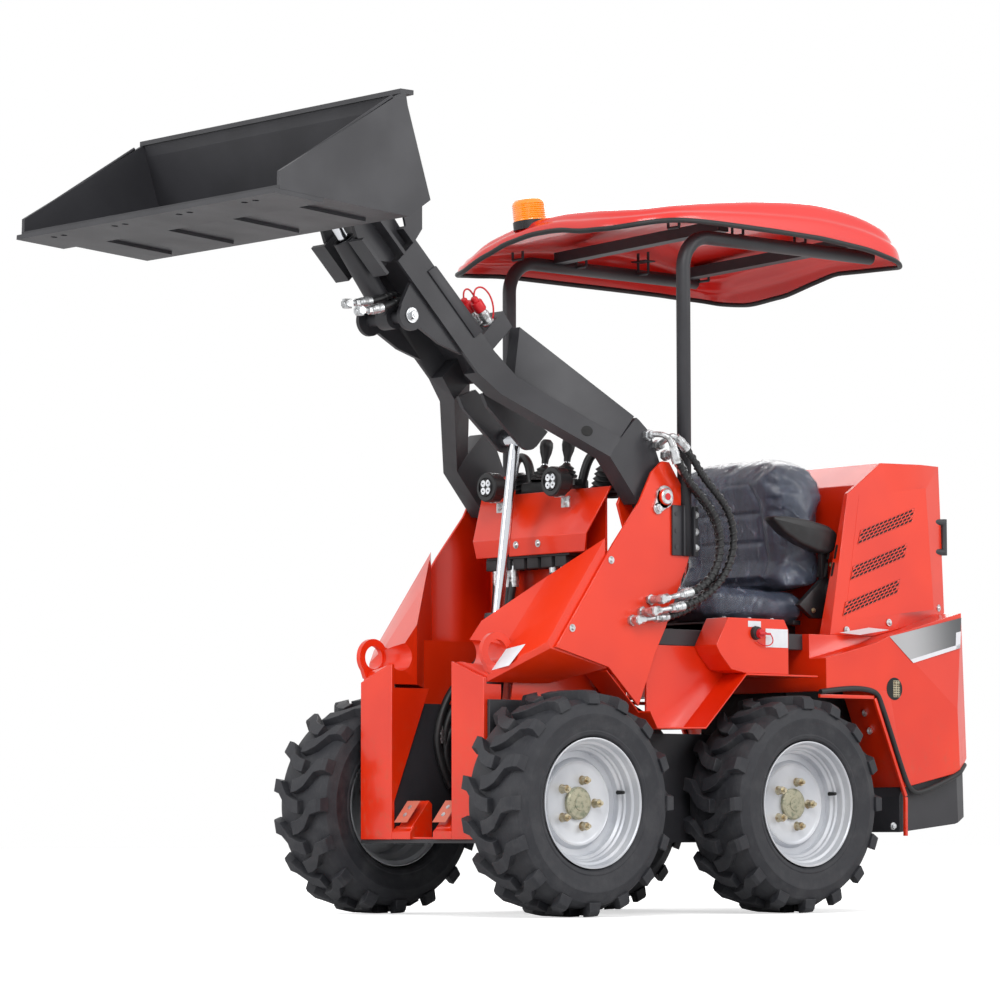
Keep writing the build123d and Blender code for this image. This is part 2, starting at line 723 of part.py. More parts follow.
def build_all():
    wheels()
    save("main_frame", main_frame())
    save("front_pillars", both(front_pillar()))
    save("front_crossmember", front_crossmember())
    save("slope_covers", both(slope_cover()))
    save_pair("arm_tower", arm_tower())
    save("mid_fenders", both(mid_fender()))
    save("side_consoles", both(side_console()))
    save("dash_cover", dash_cover())
    save("control_levers", control_levers())
    save("work_lamps", both(work_lamp()))
    save("tower_hoses", tower_hoses())
    save("seat_base", seat_base())
    save("seat_cushion", seat_cushion())
    save("seat_back", seat_back())
    save("armrests", both(armrest()))
    save("rear_body", rear_body())
    save("rear_skirt", rear_skirt())
    save("engine_hood", engine_hood())
    save("hood_handle", hood_handle())
    save("engine_block", engine_block() + engine_mounts())
    save("canopy", canopy())
    save("canopy_trim", canopy_trim())
    save("canopy_posts", both(canopy_post()))
    save("canopy_rails", canopy_rails())
    save("beacon", beacon())
    save("lift_arm", lift_arm())
    save("arm_head", arm_head())
    save("hose_cover", hose_cover())
    save("quick_couplers", quick_couplers())
    save("lift_barrel", barrel(lift_pin, lift_eye, lift_barrel_radius, lift_bore, lift_barrel_length))
    save("lift_rod", rod(lift_pin, lift_eye, lift_rod_radius, lift_bore - 1, lift_rod_length))
    save("tilt_barrel", barrel(tilt_pin, tilt_eye, tilt_barrel_radius, tilt_bore, tilt_barrel_length))
    save("tilt_rod", rod(tilt_pin, tilt_eye, tilt_rod_radius, tilt_bore - 1, tilt_rod_length))
    save("bucket", bucket())
    save("cutting_edge", cutting_edge())
    save("coupler", coupler())


build_all()
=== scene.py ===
import json
import math

import bmesh
import bpy
from mathutils import Matrix, Vector, noise
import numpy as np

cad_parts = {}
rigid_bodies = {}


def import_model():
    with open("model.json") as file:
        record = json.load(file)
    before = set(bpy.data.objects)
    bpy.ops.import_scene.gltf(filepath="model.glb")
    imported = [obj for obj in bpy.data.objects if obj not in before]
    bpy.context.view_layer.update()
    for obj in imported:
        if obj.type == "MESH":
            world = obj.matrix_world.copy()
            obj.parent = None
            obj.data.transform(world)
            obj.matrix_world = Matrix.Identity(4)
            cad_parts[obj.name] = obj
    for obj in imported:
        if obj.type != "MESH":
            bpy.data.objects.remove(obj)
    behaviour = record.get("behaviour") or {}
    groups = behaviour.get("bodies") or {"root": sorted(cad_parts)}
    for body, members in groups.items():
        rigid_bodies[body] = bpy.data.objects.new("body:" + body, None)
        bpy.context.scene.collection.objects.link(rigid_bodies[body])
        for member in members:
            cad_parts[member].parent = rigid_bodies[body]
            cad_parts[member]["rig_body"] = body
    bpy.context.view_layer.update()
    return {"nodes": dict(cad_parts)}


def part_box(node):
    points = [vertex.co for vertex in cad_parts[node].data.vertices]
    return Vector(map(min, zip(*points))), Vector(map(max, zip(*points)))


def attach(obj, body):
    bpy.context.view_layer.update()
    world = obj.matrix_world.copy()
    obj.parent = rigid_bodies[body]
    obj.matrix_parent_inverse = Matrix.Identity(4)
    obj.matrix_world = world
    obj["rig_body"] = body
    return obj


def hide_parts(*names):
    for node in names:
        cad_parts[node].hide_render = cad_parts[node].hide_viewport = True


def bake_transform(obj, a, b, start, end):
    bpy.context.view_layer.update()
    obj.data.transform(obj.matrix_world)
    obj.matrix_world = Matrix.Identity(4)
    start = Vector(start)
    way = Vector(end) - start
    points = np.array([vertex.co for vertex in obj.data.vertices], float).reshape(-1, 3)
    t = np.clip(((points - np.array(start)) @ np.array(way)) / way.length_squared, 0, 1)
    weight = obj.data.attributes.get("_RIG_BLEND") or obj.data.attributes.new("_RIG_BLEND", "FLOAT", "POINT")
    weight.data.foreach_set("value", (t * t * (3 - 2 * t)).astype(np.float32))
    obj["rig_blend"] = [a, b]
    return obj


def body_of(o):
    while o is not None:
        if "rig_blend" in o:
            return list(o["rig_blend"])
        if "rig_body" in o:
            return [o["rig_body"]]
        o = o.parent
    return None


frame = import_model()
nodes = frame["nodes"]
print("frame loaded:", len(nodes), "nodes")


def tone(red, green, blue):
    # a screen colour, 0 to 255, as the linear colour that a shader takes
    def linear(value):
        share = value / 255
        return share / 12.92 if share <= 0.04045 else ((share + 0.055) / 1.055) ** 2.4
    return (linear(red), linear(green), linear(blue), 1)


class Socket:
    # wraps one output socket, so that values are worked out as Python expressions
    def __init__(self, tree, link):
        self.tree, self.link = tree, link

    def node(self, kind, settings=None, values=None, out=0):
        made = self.tree.nodes.new(kind)
        for name, value in (settings or {}).items():
            if name == "stops":
                for index, (place, colour) in enumerate(value):
                    stops = made.color_ramp.elements
                    stop = stops[index] if index < 2 else stops.new(place)
                    stop.position, stop.color = place, colour
            else:
                setattr(made, name, value)
        for name, value in (values or {}).items():
            if isinstance(value, Socket):
                self.tree.links.new(value.link, made.inputs[name])
            else:
                made.inputs[name].default_value = value
        return None if out is None else Socket(self.tree, made.outputs[out])

    def math(self, operation, other=0.0, swapped=False):
        first, second = (other, self) if swapped else (self, other)
        return self.node("ShaderNodeMath", {"operation": operation}, {0: first, 1: second})

    def __add__(self, other):
        return self.math("ADD", other)

    def __radd__(self, other):
        return self.math("ADD", other, True)

    def __sub__(self, other):
        return self.math("SUBTRACT", other)

    def __rsub__(self, other):
        return self.math("SUBTRACT", other, True)

    def __mul__(self, other):
        return self.math("MULTIPLY", other)

    def __rmul__(self, other):
        return self.math("MULTIPLY", other, True)

    def __truediv__(self, other):
        return self.math("DIVIDE", other)

    def ramp(self, low, high):
        # 0 below low, 1 above high
        return self.node("ShaderNodeMapRange", {"interpolation_type": "SMOOTHSTEP"},
                         {"Value": self, "From Min": low, "From Max": high})

    def noise(self, scale, detail=3.0, roughness=0.5, distortion=0.0):
        return self.node("ShaderNodeTexNoise", None,
                         {"Vector": self, "Scale": scale, "Detail": detail,
                          "Roughness": roughness, "Distortion": distortion})

    def cells(self, scale, feature="F1"):
        return self.node("ShaderNodeTexVoronoi", {"feature": feature}, {"Vector": self, "Scale": scale})

    def stretched(self, x, y, z):
        return self.node("ShaderNodeMapping", None, {"Vector": self, "Scale": (x, y, z)})

    def axis(self, index):
        return self.node("ShaderNodeSeparateXYZ", None, {"Vector": self}, index)

    def blend(self, first, second):
        # this value is the share of the second colour
        return self.node("ShaderNodeMix", {"data_type": "RGBA"}, {0: self, 6: first, 7: second}, 2)

    def bump(self, strength, distance):
        return self.node("ShaderNodeBump", None,
                         {"Height": self, "Strength": strength, "Distance": distance})


def material(name, make, **fixed):
    # make(place) gives what varies: a dictionary of shader inputs from the object's coordinates
    made = bpy.data.materials.new(name)
    made.use_nodes = True
    tree = made.node_tree
    shader = tree.nodes["Principled BSDF"]
    place = Socket(tree, tree.nodes.new("ShaderNodeTexCoord").outputs["Object"])
    for key, value in fixed.items():
        shader.inputs[key].default_value = value
    for key, value in make(place).items():
        tree.links.new(value.link, shader.inputs[key])
    return made


paint = {"orange": tone(232, 50, 6), "shade": tone(218, 40, 4), "dust": tone(168, 96, 66),
         "charcoal": tone(50, 50, 54), "charcoalShade": tone(40, 40, 44),
         "canopy": tone(230, 34, 24), "canopyShade": tone(218, 28, 20)}


def glossPaint(base, shade, dust):
    def make(place):
        wave = place.noise(3.5, 2.0)
        peel = place.noise(420.0, 2.0)
        height = place.axis(2)
        grime = (1 - height.ramp(0.18, 0.62)) * place.noise(38.0, 5.0, 0.65).ramp(0.48, 0.78)
        colour = wave.ramp(0.35, 0.7).blend(base, shade)
        return {"Base Color": (grime * 0.45).blend(colour, dust),
                "Roughness": 0.27 + wave * 0.08 + grime * 0.35,
                "Normal": (peel * 0.35 + place.noise(9.0, 2.0) * 0.6).bump(0.12, 0.0015)}
    return make


def charcoalPaint(place):
    grain = place.noise(900.0, 2.0)
    cloud = place.noise(6.0, 3.0)
    scuff = place.stretched(14.0, 3.0, 14.0).noise(10.0, 6.0, 0.7).ramp(0.66, 0.8)
    colour = cloud.ramp(0.3, 0.7).blend(paint["charcoal"], paint["charcoalShade"])
    return {"Base Color": (scuff * 0.25).blend(colour, tone(104, 102, 102)),
            "Roughness": 0.42 + cloud * 0.14 + scuff * 0.12,
            "Normal": (grain + place.noise(60.0, 3.0) * 0.8).bump(0.16, 0.0008)}


def brushedChrome(place):
    rings = place.stretched(30.0, 30.0, 900.0).noise(1.0, 4.0, 0.7)
    return {"Roughness": 0.08 + rings * 0.12, "Normal": rings.bump(0.05, 0.0004),
            "Base Color": place.noise(5.0).blend(tone(226, 228, 232), tone(196, 200, 206))}


def castIron(place):
    lumps = place.noise(220.0, 5.0, 0.65)
    oil = place.noise(9.0, 4.0).ramp(0.5, 0.72)
    return {"Base Color": oil.blend(tone(58, 58, 60), tone(30, 30, 31)),
            "Roughness": 0.75 - oil * 0.35, "Normal": lumps.bump(0.5, 0.002)}


def rubber(dark, light, rough):
    def make(place):
        chalk = place.noise(24.0, 5.0, 0.6).ramp(0.45, 0.75)
        return {"Base Color": (chalk * 0.5).blend(dark, light), "Roughness": rough + chalk * 0.12,
                "Normal": place.noise(640.0, 3.0).bump(0.22, 0.0007)}
    return make


def tyreRubber(place):
    chalk = place.noise(16.0, 6.0, 0.62).ramp(0.42, 0.74)
    streak = place.stretched(1.0, 9.0, 1.0).noise(30.0, 4.0).ramp(0.5, 0.8)
    return {"Base Color": (chalk * 0.4 + streak * 0.14).blend(tone(38, 39, 44), tone(82, 82, 84)),
            "Roughness": 0.6 + chalk * 0.2,
            "Normal": (place.noise(300.0, 4.0) + place.noise(44.0, 3.0) * 1.4).bump(0.3, 0.0011)}


def silverPaint(place):
    flake = place.cells(2600.0)
    cloud = place.noise(7.0, 3.0)
    return {"Base Color": cloud.ramp(0.3, 0.7).blend(tone(206, 208, 212), tone(186, 189, 195)),
            "Roughness": 0.34 + cloud * 0.12, "Normal": flake.bump(0.05, 0.0003)}


def plated(light, dark):
    def make(place):
        spangle = place.cells(160.0)
        stain = place.noise(70.0, 4.0).ramp(0.45, 0.7)
        return {"Base Color": stain.blend(light, dark), "Roughness": 0.22 + spangle * 0.3,
                "Normal": place.noise(500.0, 3.0).bump(0.1, 0.0004)}
    return make


def amberLens(place):
    wave = (place.axis(2) * 520.0).math("SINE", 0.0)
    return {"Base Color": place.noise(14.0).blend(tone(255, 150, 12), tone(250, 118, 6)),
            "Roughness": 0.14 + place.noise(40.0) * 0.08, "Normal": wave.bump(0.35, 0.0012)}


def lampBlack(place):
    return {"Base Color": place.noise(30.0).blend(tone(24, 24, 26), tone(36, 36, 38)),
            "Roughness": 0.42 + place.noise(80.0) * 0.15, "Normal": place.noise(700.0).bump(0.2, 0.0004)}


def vinyl(place):
    grain = place.cells(520.0, "DISTANCE_TO_EDGE")
    fold = place.stretched(1.0, 2.2, 0.9).noise(11.0, 4.0, 0.55, 0.8)
    return {"Base Color": fold.ramp(0.3, 0.75).blend(tone(50, 55, 66), tone(72, 78, 92)),
            "Roughness": 0.42 + fold * 0.2,
            "Normal": (grain * 0.6 + fold * 1.5).bump(0.35, 0.0016)}


def clearWrap(place):
    warped = place.stretched(1.0, 1.7, 0.8)
    broad = warped.noise(6.5, 3.0, 0.5, 0.7)
    crease = (1 - (broad - 0.5).math("ABSOLUTE") * 22.0).ramp(0.2, 1.0)
    fine = warped.noise(30.0, 4.0, 0.6, 0.6)
    # painted highlight: where the fine noise is high the film turns near white and less clear, for the glints along
    # its crinkles
    paintedHighlight = fine.ramp(0.52, 0.80)
    return {"Alpha": 0.13 + crease * 0.16 + paintedHighlight * 0.16,
            "Roughness": 0.12 + fine * 0.14,
            "Normal": (crease * 0.6 + fine).bump(0.8, 0.004),
            "Base Color": paintedHighlight.blend(tone(104, 116, 142), tone(214, 222, 238))}


def shadedPlate(place):
    # silver at the front, darker towards the rear
    fade = place.axis(0).ramp(-1.12, -0.86)
    return {"Base Color": fade.blend(tone(78, 80, 82), tone(176, 176, 178)),
            "Roughness": 0.35 + place.noise(60.0) * 0.1,
            "Normal": place.noise(300.0).bump(0.05, 0.0004)}


def plainPlate(place):
    return {"Base Color": place.noise(40.0).blend(tone(232, 232, 236), tone(214, 215, 220)),
            "Roughness": 0.4 + place.noise(90.0) * 0.1}


finish = {
    "red_paint": material("orangePaint", glossPaint(paint["orange"], paint["shade"], paint["dust"]),
                          **{"Coat Weight": 0.35, "Coat Roughness": 0.12, "Specular IOR Level": 0.5}),
    "charcoal_paint": material("charcoalPaint", charcoalPaint, **{"Specular IOR Level": 0.5}),
    "chrome": material("chromeRod", brushedChrome, Metallic=1.0),
    "engine_iron": material("castIron", castIron, Metallic=0.3),
    "canopy_shell": material("canopyShell", glossPaint(paint["canopy"], paint["canopyShade"], paint["canopy"]),
                             **{"Coat Weight": 0.6, "Coat Roughness": 0.08}),
    "black_rubber": material("blackRubber", rubber(tone(22, 23, 25), tone(52, 52, 54), 0.5)),
    "amber_lens": material("amberLens", amberLens, **{"Coat Weight": 0.8, "Coat Roughness": 0.05,
                                                     "Emission Color": tone(255, 140, 10),
                                                     "Emission Strength": 0.25}),
    "lamp_black": material("lampBlack", lampBlack),
    "zinc": material("zincPlate", plated(tone(206, 208, 210), tone(150, 150, 150)), Metallic=0.9),
    "seat_vinyl": material("seatVinyl", vinyl, **{"Coat Weight": 0.3, "Coat Roughness": 0.2}),
    "tyre": material("tyreRubber", tyreRubber, **{"Specular IOR Level": 0.4}),
    "rim_silver": material("rimSilver", silverPaint, Metallic=0.35),
}
extra = {
    "wrap": material("clearWrap", clearWrap, **{"Specular IOR Level": 0.8}),
    "goldZinc": material("goldZinc", plated(tone(196, 186, 160), tone(150, 128, 96)), Metallic=0.9),
    "oliveZinc": material("oliveZinc", plated(tone(168, 164, 142), tone(128, 132, 112)), Metallic=0.55),
    "plate": material("plainPlate", plainPlate),
    "greyPlate": material("greyPlate", shadedPlate),
    "wornRed": material("wornRed", rubber(tone(206, 112, 92), tone(224, 84, 50), 0.5)),
    "redCap": material("redCap", rubber(tone(206, 24, 34), tone(222, 44, 52), 0.4)),
    "lens": material("lampLens", plated(tone(240, 242, 246), tone(200, 204, 210)), Metallic=0.8),
    "braid": material("spiralWrap", rubber(tone(18, 19, 21), tone(40, 41, 44), 0.3)),
    "softBlack": material("softBlack", rubber(tone(24, 24, 26), tone(46, 46, 48), 0.42)),
    # near-black: the tyre valve's own rubber, and painted shade inside the vent pockets, hood slots, filler hole and
    # arm holes
    "dark": material("valveBlackAndHoleShade", rubber(tone(8, 8, 9), tone(16, 16, 17), 0.7)),
}

slotOf = {}
for name, node in nodes.items():
    for held in node.material_slots:
        slotOf[name] = held.material.name.split(".")[0]
        held.material = finish[slotOf[name]]
print("finishes made:", len(finish) + len(extra))


def piece(name, bm, look, body, smooth=40, keepNormals=False):
    # a mesh piece from a bmesh; smooth is the angle in degrees past which an edge stays sharp
    if not keepNormals:
        bmesh.ops.recalc_face_normals(bm, faces=bm.faces)
    mesh = bpy.data.meshes.new(name)
    bm.to_mesh(mesh)
    bm.free()
    made = bpy.data.objects.new(name, mesh)
    bpy.context.scene.collection.objects.link(made)
    mesh.materials.append(look)
    mesh.polygons.foreach_set("use_smooth", [True] * len(mesh.polygons))
    mesh.set_sharp_from_angle(angle=math.radians(smooth))
    if body:
        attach(made, body)
    return made


def aim(start, end):
    # a matrix at the middle of two points, its Z from the first to the second
    start, end = Vector(start), Vector(end)
    turn = (end - start).to_track_quat("Z", "Y").to_matrix().to_4x4()
    return Matrix.Translation((start + end) / 2) @ turn


def addRod(bm, start, end, radius, endRadius=None, segments=20):
    length = (Vector(end) - Vector(start)).length
    return bmesh.ops.create_cone(bm, cap_ends=True, segments=segments, radius1=radius,
                                 radius2=radius if endRadius is None else endRadius,
                                 depth=length, matrix=aim(start, end))["verts"]


def addBlock(bm, low, high, bevel=0.0, turn=None):
    size = [b - a for a, b in zip(low, high)]
    middle = [(a + b) / 2 for a, b in zip(low, high)]
    place = Matrix.Translation(middle) @ (turn or Matrix.Identity(4)) @ Matrix.Diagonal(size + [1])
    verts = bmesh.ops.create_cube(bm, size=1, matrix=place)["verts"]
    if bevel:
        edges = list({edge for vert in verts for edge in vert.link_edges})
        bmesh.ops.bevel(bm, geom=edges, offset=bevel, segments=2, profile=0.5, affect="EDGES",
                        material=-1)
    return verts


def addBolt(bm, point, direction, radius=0.007, domed=False):
    # a washer with a hexagon or domed head, standing on the point
    point, direction = Vector(point), Vector(direction).normalized()
    addRod(bm, point - direction * 0.001, point + direction * radius * 0.25, radius * 1.35, segments=18)
    if domed:
        addRod(bm, point, point + direction * radius * 0.75, radius, radius * 0.55, 14)
    else:
        addRod(bm, point, point + direction * radius * 0.95, radius, segments=6)
        addRod(bm, point, point + direction * radius * 1.15, radius * 0.45, segments=10)


def addPlate(bm, corners, direction, thickness, bevel=0.0):
    # a flat plate through the corners, thickened along a direction
    verts = [bm.verts.new(corner) for corner in corners]
    face = bm.faces.new(verts)
    moved = bmesh.ops.extrude_face_region(bm, geom=[face])["geom"]
    top = [item for item in moved if isinstance(item, bmesh.types.BMVert)]
    bmesh.ops.translate(bm, verts=top, vec=Vector(direction).normalized() * thickness)
    if bevel:
        edges = list({edge for vert in verts + top for edge in vert.link_edges})
        bmesh.ops.bevel(bm, geom=edges, offset=bevel, segments=2, profile=0.5, affect="EDGES",
                        material=-1)


def mirrored(bm):
    # adds the twin of everything across the middle plane
    bmesh.ops.mirror(bm, geom=list(bm.verts) + list(bm.edges) + list(bm.faces),
                     matrix=Matrix.Identity(4), merge_dist=1e-6, axis="Y")


def curvePiece(name, points, radius, look, body, resolution=8):
    # a smooth tube along NURBS control points
    curve = bpy.data.curves.new(name, "CURVE")
    curve.dimensions = "3D"
    curve.bevel_depth = radius
    curve.bevel_resolution = 4
    curve.resolution_u = resolution
    curve.use_fill_caps = True
    spline = curve.splines.new("NURBS")
    spline.points.add(len(points) - 1)
    for point, place in zip(spline.points, points):
        point.co = (*place, 1)
    spline.order_u = 3
    spline.use_endpoint_u = True
    curve.materials.append(look)
    made = bpy.data.objects.new(name, curve)
    bpy.context.scene.collection.objects.link(made)
    if body:
        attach(made, body)
    return made


view = {"place": (7.7908, 8.5724, 0.2164), "yaw": 3.991, "pitch": 0.0772, "roll": -0.0021,
        "lens": 153.97, "shift": (-0.00933, 0.00209)}


def makeCamera():
    forward = Vector((math.cos(view["pitch"]) * math.cos(view["yaw"]),
                      math.cos(view["pitch"]) * math.sin(view["yaw"]), math.sin(view["pitch"])))
    side = forward.cross(Vector((0, 0, 1))).normalized()
    up = side.cross(forward)
    roll = view["roll"]
    level = math.cos(roll) * side + math.sin(roll) * up
    above = -math.sin(roll) * side + math.cos(roll) * up
    turn = Matrix((level, above, -forward)).transposed().to_4x4()
    data = bpy.data.cameras.new("camera")
    data.sensor_width = 36
    data.lens = view["lens"]
    data.shift_x, data.shift_y = view["shift"]
    data.clip_end = 200
    camera = bpy.data.objects.new("camera", data)
    camera.matrix_world = Matrix.Translation(view["place"]) @ turn
    bpy.context.scene.collection.objects.link(camera)
    bpy.context.scene.camera = camera


lamps = {  # place, size across, power
    "keyLamp": ((4.2, 5.4, 5.6), 3.5, 300),
    "sideLamp": ((-3.5, 6.0, 3.8), 3.0, 130),
    "frontLamp": ((7.0, -1.5, 3.2), 3.0, 150),
    "rearLamp": ((-5.0, -4.5, 4.5), 3.0, 130),
}


def makeLight():
    for name, (place, size, power) in lamps.items():
        data = bpy.data.lights.new(name, "AREA")
        data.size, data.energy = size, power
        lamp = bpy.data.objects.new(name, data)
        toward = Vector((0.2, 0, 0.9)) - Vector(place)
        lamp.matrix_world = (Matrix.Translation(place)
                             @ toward.to_track_quat("-Z", "Y").to_matrix().to_4x4())
        bpy.context.scene.collection.objects.link(lamp)


backdrop = {"soft": 0.55, "white": 1.0}


def makeBackdrop():
    # soft light for the object, plain white where the camera, mirrors and clear film see past it
    world = bpy.data.worlds.new("studio")
    bpy.context.scene.world = world
    world.use_nodes = True
    tree = world.node_tree
    tree.nodes.clear()
    path = tree.nodes.new("ShaderNodeLightPath")
    camera, glossy, clear = (Socket(tree, path.outputs[name]) for name in
                             ("Is Camera Ray", "Is Glossy Ray", "Is Transmission Ray"))
    seen = camera.math("MAXIMUM", glossy).math("MAXIMUM", clear)
    sides = [seen.node("ShaderNodeBackground", None, {"Color": (1, 1, 1, 1), "Strength": backdrop[name]})
             for name in ("soft", "white")]
    mixed = seen.node("ShaderNodeMixShader", None, {0: seen, 1: sides[0], 2: sides[1]})
    mixed.node("ShaderNodeOutputWorld", None, {"Surface": mixed}, None)
    bpy.context.scene.view_settings.view_transform = "Standard"


def makeFloor():
    bm = bmesh.new()
    bmesh.ops.create_grid(bm, x_segments=1, y_segments=1, size=40)
    look = bpy.data.materials.new("paleFloor")
    look.use_nodes = True
    tree = look.node_tree
    shader = tree.nodes["Principled BSDF"]
    shader.inputs["Base Color"].default_value = (0.86, 0.86, 0.86, 1)
    shader.inputs["Roughness"].default_value = 0.9
    rays = Socket(tree, tree.nodes.new("ShaderNodeLightPath").outputs["Is Camera Ray"])
    shader.inputs["Emission Color"].default_value = (1, 1, 1, 1)
    tree.links.new((rays * 0.6).link, shader.inputs["Emission Strength"])
    mesh = bpy.data.meshes.new("floor")
    bm.to_mesh(mesh)
    bm.free()
    mesh.materials.append(look)
    floor = bpy.data.objects.new("floor", mesh)
    bpy.context.scene.collection.objects.link(floor)


makeCamera()
makeLight()
makeBackdrop()
makeFloor()
print("camera, light and floor made")


wheel = {"lugs": 16, "lugWidth": 0.040, "bend": 0.275, "steps": 96,
         # place across the tyre, along its tread, foot and top radius of a lug
         "lugPath": [(0.1035, 0.0, 0.255, 0.280), (0.090, 0.002, 0.252, 0.2885),
                     (0.066, 0.008, 0.250, 0.2912), (0.034, 0.044, 0.250, 0.2915),
                     (0.008, 0.056, 0.250, 0.2915), (-0.016, 0.060, 0.250, 0.2915)],
         "centre": {"front": 0.390, "rear": -0.390}, "track": 0.385, "height": 0.292}


def spinProfile(bm, profile, steps):
    verts = [bm.verts.new((radius, across, 0)) for radius, across in profile]
    edges = [bm.edges.new(pair) for pair in zip(verts, verts[1:])]
    bmesh.ops.spin(bm, geom=verts + edges, axis=(0, 1, 0), cent=(0, 0, 0), angle=2 * math.pi,
                   steps=steps, use_merge=True)
    bmesh.ops.remove_doubles(bm, verts=bm.verts, dist=1e-5)


def addLug(bm, turn, side):
    # one bent bar from the shoulder to just past the middle, then wrapped on the tyre
    half = wheel["lugWidth"] / 2
    path = wheel["lugPath"]
    grid = bmesh.ops.create_grid(bm, x_segments=len(path) - 1, y_segments=1, size=1)["verts"]
    faces = list({face for vert in grid for face in vert.link_faces})
    raised = bmesh.ops.extrude_face_region(bm, geom=faces)["geom"]
    top = {item for item in raised if isinstance(item, bmesh.types.BMVert)}
    columns = sorted({round(vert.co.x, 4) for vert in grid})
    for vert in list(grid) + list(top):
        across, along, low, high = path[columns.index(round(vert.co.x, 4))]
        width = half * (0.84 if vert in top else 1.06)
        inset = 0.004 if vert in top and across > 0.1 else 0.0
        angle = turn + (along + vert.co.y * width) / wheel["bend"]
        radius = high if vert in top else low
        vert.co = (radius * math.cos(angle), side * (across - inset), -radius * math.sin(angle))


def makeTyre(name, place, body, node):
    bm = bmesh.new()
    half = [(0.1685, 0.078), (0.170, 0.092), (0.176, 0.0985), (0.184, 0.1005), (0.186, 0.0990),
            (0.205, 0.1030), (0.222, 0.1040), (0.224, 0.1050), (0.229, 0.1050), (0.231, 0.1038),
            (0.243, 0.1015), (0.256, 0.0950), (0.266, 0.0780), (0.2705, 0.040), (0.2715, 0.0)]
    profile = [(r, y) for r, y in half] + [(r, -y) for r, y in reversed(half[:-1])]
    spinProfile(bm, profile + [profile[0]], wheel["steps"])
    for number in range(wheel["lugs"]):
        step = 2 * math.pi / wheel["lugs"]
        addLug(bm, number * step, 1)
        addLug(bm, (number + 0.5) * step, -1)
    bmesh.ops.translate(bm, verts=bm.verts, vec=place)
    made = piece(name, bm, finish["tyre"], body, 28)
    bevel = made.modifiers.new("softEdges", "BEVEL")
    bevel.width, bevel.segments, bevel.limit_method = 0.0018, 2, "ANGLE"
    bevel.angle_limit = math.radians(35)
    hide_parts(node)


def makeRim(name, place, body, node, side):
    bm = bmesh.new()
    outer = [(0.1640, 0.0930), (0.1678, 0.0945), (0.1678, 0.0975), (0.1650, 0.0978), (0.1622, 0.0950),
             (0.1600, 0.0860), (0.1580, 0.0790), (0.1520, 0.0755), (0.1500, 0.0700), (0.1495, 0.0580),
             (0.1450, 0.0545), (0.1435, 0.0480), (0.1370, 0.0430), (0.1350, 0.0360), (0.1350, 0.0270),
             (0.1180, 0.0270), (0.1130, 0.0345), (0.1085, 0.0380), (0.1040, 0.0345), (0.0990, 0.0330),
             (0.0, 0.0330)]
    back = [(0.0, 0.0210), (0.1000, 0.0210), (0.1320, 0.0180), (0.1330, -0.0250), (0.1480, -0.0320),
            (0.1500, -0.0720), (0.1600, -0.0760), (0.1615, -0.0850), (0.1640, -0.0850), (0.1640, -0.0700),
            (0.1560, -0.0660), (0.1540, -0.0300), (0.1400, -0.0200), (0.1400, 0.0400), (0.1540, 0.0600),
            (0.1550, 0.0740), (0.1620, 0.0800), (0.1640, 0.0930)]
    spinProfile(bm, outer + back, 96)
    bmesh.ops.remove_doubles(bm, verts=bm.verts, dist=1e-5)
    if side < 0:
        bmesh.ops.scale(bm, verts=bm.verts, vec=(1, -1, 1))
    bmesh.ops.translate(bm, verts=bm.verts, vec=place)
    rim = piece(name, bm, finish["rim_silver"], body, 30)
    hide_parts(node)
    bm = bmesh.new()
    face = 0.033
    for number in range(5):
        turn = math.radians(18 + 90 + number * 72)
        x, z = 0.062 * math.cos(turn), 0.062 * math.sin(turn)
        addRod(bm, (x, side * face, z), (x, side * (face + 0.006), z), 0.0125, 0.0095, 20)
        addRod(bm, (x, side * face, z), (x, side * (face + 0.020), z), 0.0105, segments=6)
        addRod(bm, (x, side * face, z), (x, side * (face + 0.029), z), 0.0058, 0.0050, 12)
    bmesh.ops.translate(bm, verts=bm.verts, vec=place)
    piece(name + "_nuts", bm, extra["goldZinc"], body, 30)
    bm = bmesh.new()
    cap = [(0.0, face + 0.0150), (0.018, face + 0.0145), (0.019, face + 0.0125), (0.037, face + 0.0115),
           (0.042, face + 0.0080), (0.042, face - 0.001)]
    spinProfile(bm, [(r, side * y) for r, y in cap], 48)
    bmesh.ops.translate(bm, verts=bm.verts, vec=place)
    piece(name + "_cap", bm, extra["oliveZinc"], body, 30)
    bm = bmesh.new()
    addRod(bm, (-0.130, side * 0.046, 0.028), (-0.128, side * 0.072, 0.028), 0.0055, 0.0045, 14)
    bmesh.ops.translate(bm, verts=bm.verts, vec=place)
    piece(name + "_valve", bm, extra["dark"], body, 30)


for end, x in wheel["centre"].items():
    for sideName, side in (("left", 1), ("right", -1)):
        tag = f"{end}_{sideName}"
        place = (x, side * wheel["track"], wheel["height"])
        makeTyre(f"tyreTread_{tag}", place, f"wheel_{tag}", f"tyre_{tag}")
        makeRim(f"wheelRim_{tag}", place, f"wheel_{tag}", f"rim_{tag}", side)
print("wheels made")


